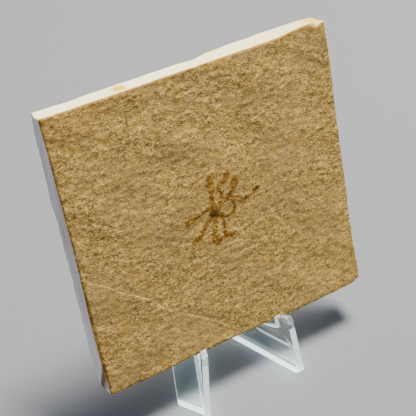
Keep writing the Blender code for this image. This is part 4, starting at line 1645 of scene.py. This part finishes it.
@dataclass
class ClearEasel:
    """The clear easel: two webs folded together behind, each with a hook, ledge and foot, on a flat base."""

    lean: Lean
    centre_x: float = -2.9
    sheet: float = 2.0
    splay: float = math.radians(23.0)
    foot_half_spread: float = 19.1
    foot_tip_y: float = -13.4
    foot_corner_y: float = -14.0
    foot_radius: float = 1.9
    flange_width: float = 9.1
    flange_thickness: float = 3.0
    flange_start: float = 1.6
    flange_slant: float = 7.6
    flange_inner_start: float = 3.0
    hook_front: Pair = (-7.5, 25.2)
    hook_back: Pair = (-2.9, 22.8)
    notch_in_front: float = 4.0
    support_height: float = 64.0
    support_standoff: float = 10.1
    ledge_drop: float = 1.6
    bevel: float = 0.16
    fold_radius: float = 3.0
    fold_depth: float = 6.0
    beyond_fold: float = 6.0
    beyond_feet: float = 8.0
    foot_clearance: float = 0.05
    hook_foot: float = 20.3
    notch_foot: float = 12.0
    notch_end: float = 10.0
    half_room: float = 40.0
    corner_angle: float = math.radians(30)
    crisp_angle: float = math.radians(35)
    steep: float = 0.2
    flat: float = 0.98
    square_on: float = 0.96
    forward: float = 0.3

    def slab_side(self, up: float, into: float) -> Pair:
        """Return a place of the slab's side view, behind its front edge and above the table."""
        sine, cosine = math.sin(self.lean.angle), math.cos(self.lean.angle)
        return up * sine + into * cosine, self.lean.front_edge_height + up * cosine - into * sine

    def spine_y(self) -> float:
        """Return where the two webs meet, behind the slab's bottom front edge."""
        return self.foot_tip_y + self.foot_half_spread / math.tan(self.splay)

    def web_outline(self) -> list[Pair]:
        """Work out the side view.

        Returns:
            Its points, back from the slab's edge and up from the table: foot, front edge, hook, notch,
            ledge, support edge and back.
        """
        notch_front = self.slab_side(-self.ledge_drop, -self.notch_in_front)
        notch_back = self.slab_side(-self.ledge_drop, self.support_standoff)
        up_support = (self.support_height - notch_back[1]) / math.cos(self.lean.angle)
        support_top = (notch_back[0] + up_support * math.sin(self.lean.angle), self.support_height)
        back = self.spine_y() + self.beyond_fold
        return round_outline([
            (self.foot_corner_y, self.foot_clearance, self.foot_radius),
            (*self.hook_front, 0.9), (*self.hook_back, 0.5), (*notch_front, 0.3), (*notch_back, 0.3),
            (*support_top, 1.5), (back, self.support_height + 1.5, 0.0), (back, self.foot_clearance, 0.0),
        ])

    def in_web_plan(self, side: int, along: float, outward: float) -> Pair:
        """Return the plan place at a distance along a web from its foot tip, and outward from it."""
        sine, cosine = math.sin(self.splay), math.cos(self.splay)
        x = side * (self.foot_half_spread - along * sine + outward * cosine)
        y = self.foot_tip_y + along * cosine + outward * sine
        return self.centre_x + x, self.lean.front_edge_y + y

    def apex(self, outward: float) -> Pair:
        """Return where the webs' lines at one distance outward cross, on the easel's centre line."""
        return self.centre_x, self.lean.front_edge_y + self.spine_y() + outward / math.sin(self.splay)

    def solid(self) -> Piece:
        """Build the whole easel as one solid.

        Returns:
            The folded sheet, cut to its side view and joined to its base.
        """
        half, ahead = self.sheet / 2, -self.beyond_feet
        right_out, right_in = self.in_web_plan(1, ahead, half), self.in_web_plan(1, ahead, -half)
        left_in, left_out = self.in_web_plan(-1, ahead, -half), self.in_web_plan(-1, ahead, half)
        fold = fillet(left_out, self.apex(half), right_out, self.fold_radius, 12)
        outline = [right_out, right_in, self.apex(-half), left_in, left_out, *fold]
        easel = upright("clear_easel_sheet", outline, -5.0, self.support_height + 10.0)
        rings = [[(self.centre_x + x, self.lean.front_edge_y + y, height) for y, height in self.web_outline()]
                 for x in (-self.half_room, self.half_room)]
        combine(easel, prism("side_view", *rings), "INTERSECT")
        combine(easel, self.flange(), "UNION")
        return easel

    def flange(self) -> Piece:
        """Build the flat base that lies on the table along the outer sides of both webs.

        Returns:
            The base as one upright prism.
        """
        length = (self.spine_y() - self.foot_tip_y) / math.cos(self.splay)
        inner = -self.sheet / 2 + 0.05
        run = [(self.flange_inner_start, inner, 0.0), (self.flange_start, 0.0, 0.0),
               (self.flange_slant, self.flange_width, 0.9), (length, self.flange_width, 2.0)]
        right, left = ([(*self.in_web_plan(side, along, outward), radius) for along, outward, radius in run]
                       for side in (1, -1))
        outline = round_outline([*right, *reversed(left), (*self.apex(inner), 0.0)])
        return upright("base_flange", outline, 0.0, self.flange_thickness)

    def side_of(self, place: Vector) -> int:
        """Return 1 for a place on the right web's side, and -1 on the left one's."""
        return 1 if place.x > self.centre_x else -1

    def across_web(self, side: int) -> Vector:
        """Return the level direction out of one web's outer face."""
        return Vector((side * math.cos(self.splay), math.sin(self.splay), 0.0))

    def outward_from_web(self, place: Vector) -> float:
        """Return how far a place in mm lies outward from the middle of the web on its side."""
        side = self.side_of(place)
        tip = Vector((*self.in_web_plan(side, 0.0, 0.0), 0.0))
        return (place - tip).dot(self.across_web(side))

    def face_kind(self, face: bmesh.types.BMFace) -> EaselFace:
        """Work out which finish a face has.

        Args:
            face: A face of the finished mesh.

        Returns:
            Whether it is the sheet's polished side, or which of its cut edges.
        """
        middle, normal = face.calc_center_median() / MM, face.normal
        half_base = self.flange_width / 2
        upright_face = abs(normal.z) < self.steep
        wall = upright_face and middle.z > self.flange_thickness - 0.05
        across = abs(normal.dot(self.across_web(self.side_of(middle))))
        web_side = wall and self.outward_from_web(middle) < half_base and across > self.square_on
        fold = wall and middle.y > self.apex(0.0)[1] - self.fold_depth
        reach = max(self.outward_from_web(vert.co / MM) for vert in face.verts)
        base_face = abs(normal.z) > self.flat and reach > half_base and middle.z < self.flange_thickness + 0.1
        if web_side or fold or base_face:
            return EaselFace.POLISHED
        lowest = self.hook_foot if normal.y < -self.forward else self.notch_foot
        if middle.z > lowest and middle.y < self.lean.front_edge_y + self.notch_end:
            return EaselFace.HOOK_EDGE
        forward_base = upright_face and normal.y < -self.steep and middle.z < self.flange_thickness
        return EaselFace.BASE_EDGE if forward_base else EaselFace.CUT_EDGE

    def part_faces(self, bm: bmesh.types.BMesh) -> None:
        """Divide the faces whose finish changes: under the webs, level with the base, and under the hooks.

        Args:
            bm: The easel's mesh.
        """
        for side in (-1, 1):
            low = [f for f in bm.faces if abs(f.normal.z) > self.flat and f.calc_center_median().z < 0.1 * MM]
            tip = Vector((*self.in_web_plan(side, 0.0, self.sheet / 2), 0.0)) * MM
            divide(bm, low, tip, self.across_web(side))
        walls = [f for f in bm.faces if abs(f.normal.z) < self.steep]
        divide(bm, walls, Vector((0.0, 0.0, self.flange_thickness * MM)), Vector((0.0, 0.0, 1.0)))
        front = [f for f in bm.faces if f.normal.y < -self.forward and f.normal.z > 0.05]
        divide(bm, front, Vector((0.0, 0.0, self.hook_foot * MM)), Vector((0.0, 0.0, 1.0)))

    def build(self, shelf: EffectShelf) -> Piece:
        """Build the easel with slightly broken edges and dress it.

        Args:
            shelf: The shared shader groups.

        Returns:
            The easel's object.
        """
        piece = self.solid()
        for finish in EASEL_FINISHES:
            piece.data.materials.append(finish.build(shelf))
        bm = bmesh.new()
        bm.from_mesh(piece.data)
        bmesh.ops.remove_doubles(bm, verts=bm.verts, dist=0.01 * MM)
        self.part_faces(bm)
        bm.normal_update()
        hard = [e for e in bm.edges if e.is_manifold and e.calc_face_angle(0.0) > self.corner_angle]
        bmesh.ops.bevel(bm, geom=hard, offset=self.bevel * MM, offset_type="OFFSET", segments=2,
                        profile=0.6, affect="EDGES", clamp_overlap=True)
        bm.normal_update()
        for face in bm.faces:
            face.material_index = self.face_kind(face).value
            face.smooth = True
        bm.to_mesh(piece.data)
        bm.free()
        piece.data.set_sharp_from_angle(angle=self.crisp_angle)
        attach(piece, BODY)
        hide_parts("clear_easel")
        return piece


# Floor, light and camera


@dataclass(frozen=True)
class SoftLight:
    """One large soft lamp that points at the slab."""

    name: str
    place: tuple[float, float, float]
    size: float
    power: float
    colour: Colour = (1.0, 1.0, 1.0)

    def build(self, target: Vector) -> None:
        """Hang the lamp and turn it.

        Args:
            target: The place that the lamp points at.
        """
        lamp = bpy.data.lights.new(self.name, "AREA")
        lamp.shape = "SQUARE"
        lamp.size = self.size
        lamp.energy = self.power
        lamp.color = self.colour
        made = linked(self.name, lamp)
        made.location = self.place
        made.rotation_euler = (target - made.location).to_track_quat("-Z", "Y").to_euler()


@dataclass
class Studio:
    """The pale floor, the soft lamps, the room's own light, and the camera at the photo's place."""

    eye: tuple[float, float, float] = (-0.12907, -0.20433, 0.28414)
    pitch: float = math.radians(42.32)
    heading: float = math.radians(31.29)
    lens: float = 88.53
    sensor: float = 36.0
    floor_half: float = 0.9
    floor_height: float = -0.0001
    room_light: float = 0.28
    room_colour: Colour = (0.88, 0.95, 1.07)
    lights: tuple[SoftLight, ...] = (
        SoftLight("key_lamp", (0.27, 0.17, 1.02), 0.30, 38.0, (1.0, 0.945, 0.80)),
        SoftLight("front_lamp", (-0.60, -0.95, 0.40), 0.5, 3.2, (0.97, 0.99, 1.0)),
    )

    def build(self) -> None:
        """Set up the floor, lights and camera."""
        self.lay_floor()
        low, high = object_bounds()
        for light in self.lights:
            light.build((Vector(low) + Vector(high)) / 2)
        world = bpy.data.worlds.new("room")
        world.use_nodes = True
        NodeSheet(world.node_tree).settle(world.node_tree.nodes["Background"], Color=self.room_colour,
                                          Strength=self.room_light)
        bpy.context.scene.world = world
        self.set_camera()

    def lay_floor(self) -> None:
        """Lay the square floor under the object."""
        corners = [(x * self.floor_half, y * self.floor_half, self.floor_height)
                   for x, y in ((-1, -1), (1, -1), (1, 1), (-1, 1))]
        mesh = bpy.data.meshes.new("floor")
        mesh.from_pydata(corners, [], [(0, 1, 2, 3)])
        mesh.materials.append(FloorFinish().build())
        linked("floor", mesh)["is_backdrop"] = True

    def set_camera(self) -> None:
        """Set the camera where the photo was taken from."""
        camera = bpy.data.cameras.new("camera")
        camera.lens = self.lens
        camera.sensor_width = self.sensor
        camera.clip_start = 0.01
        made = linked("camera", camera)
        made.location = self.eye
        made.rotation_euler = (math.pi / 2 - self.pitch, 0.0, -self.heading)
        bpy.context.scene.camera = made


def main() -> None:
    """Build the pieces in order and report each one."""
    logging.basicConfig(level=logging.INFO, format="%(name)s: %(message)s")
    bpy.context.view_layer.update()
    Studio().build()
    shelf = EffectShelf()
    lean = Lean()
    slab = StoneSlab(lean)
    fossil = FossilRelief(lean, slab)
    for piece in (slab.build(shelf, fossil), fossil.build(shelf), ClearEasel(lean).build(shelf)):
        piece.data.calc_loop_triangles()
        LOG.info("%s: %d triangles", piece.name, len(piece.data.loop_triangles))


if __name__ == "__main__":
    main()
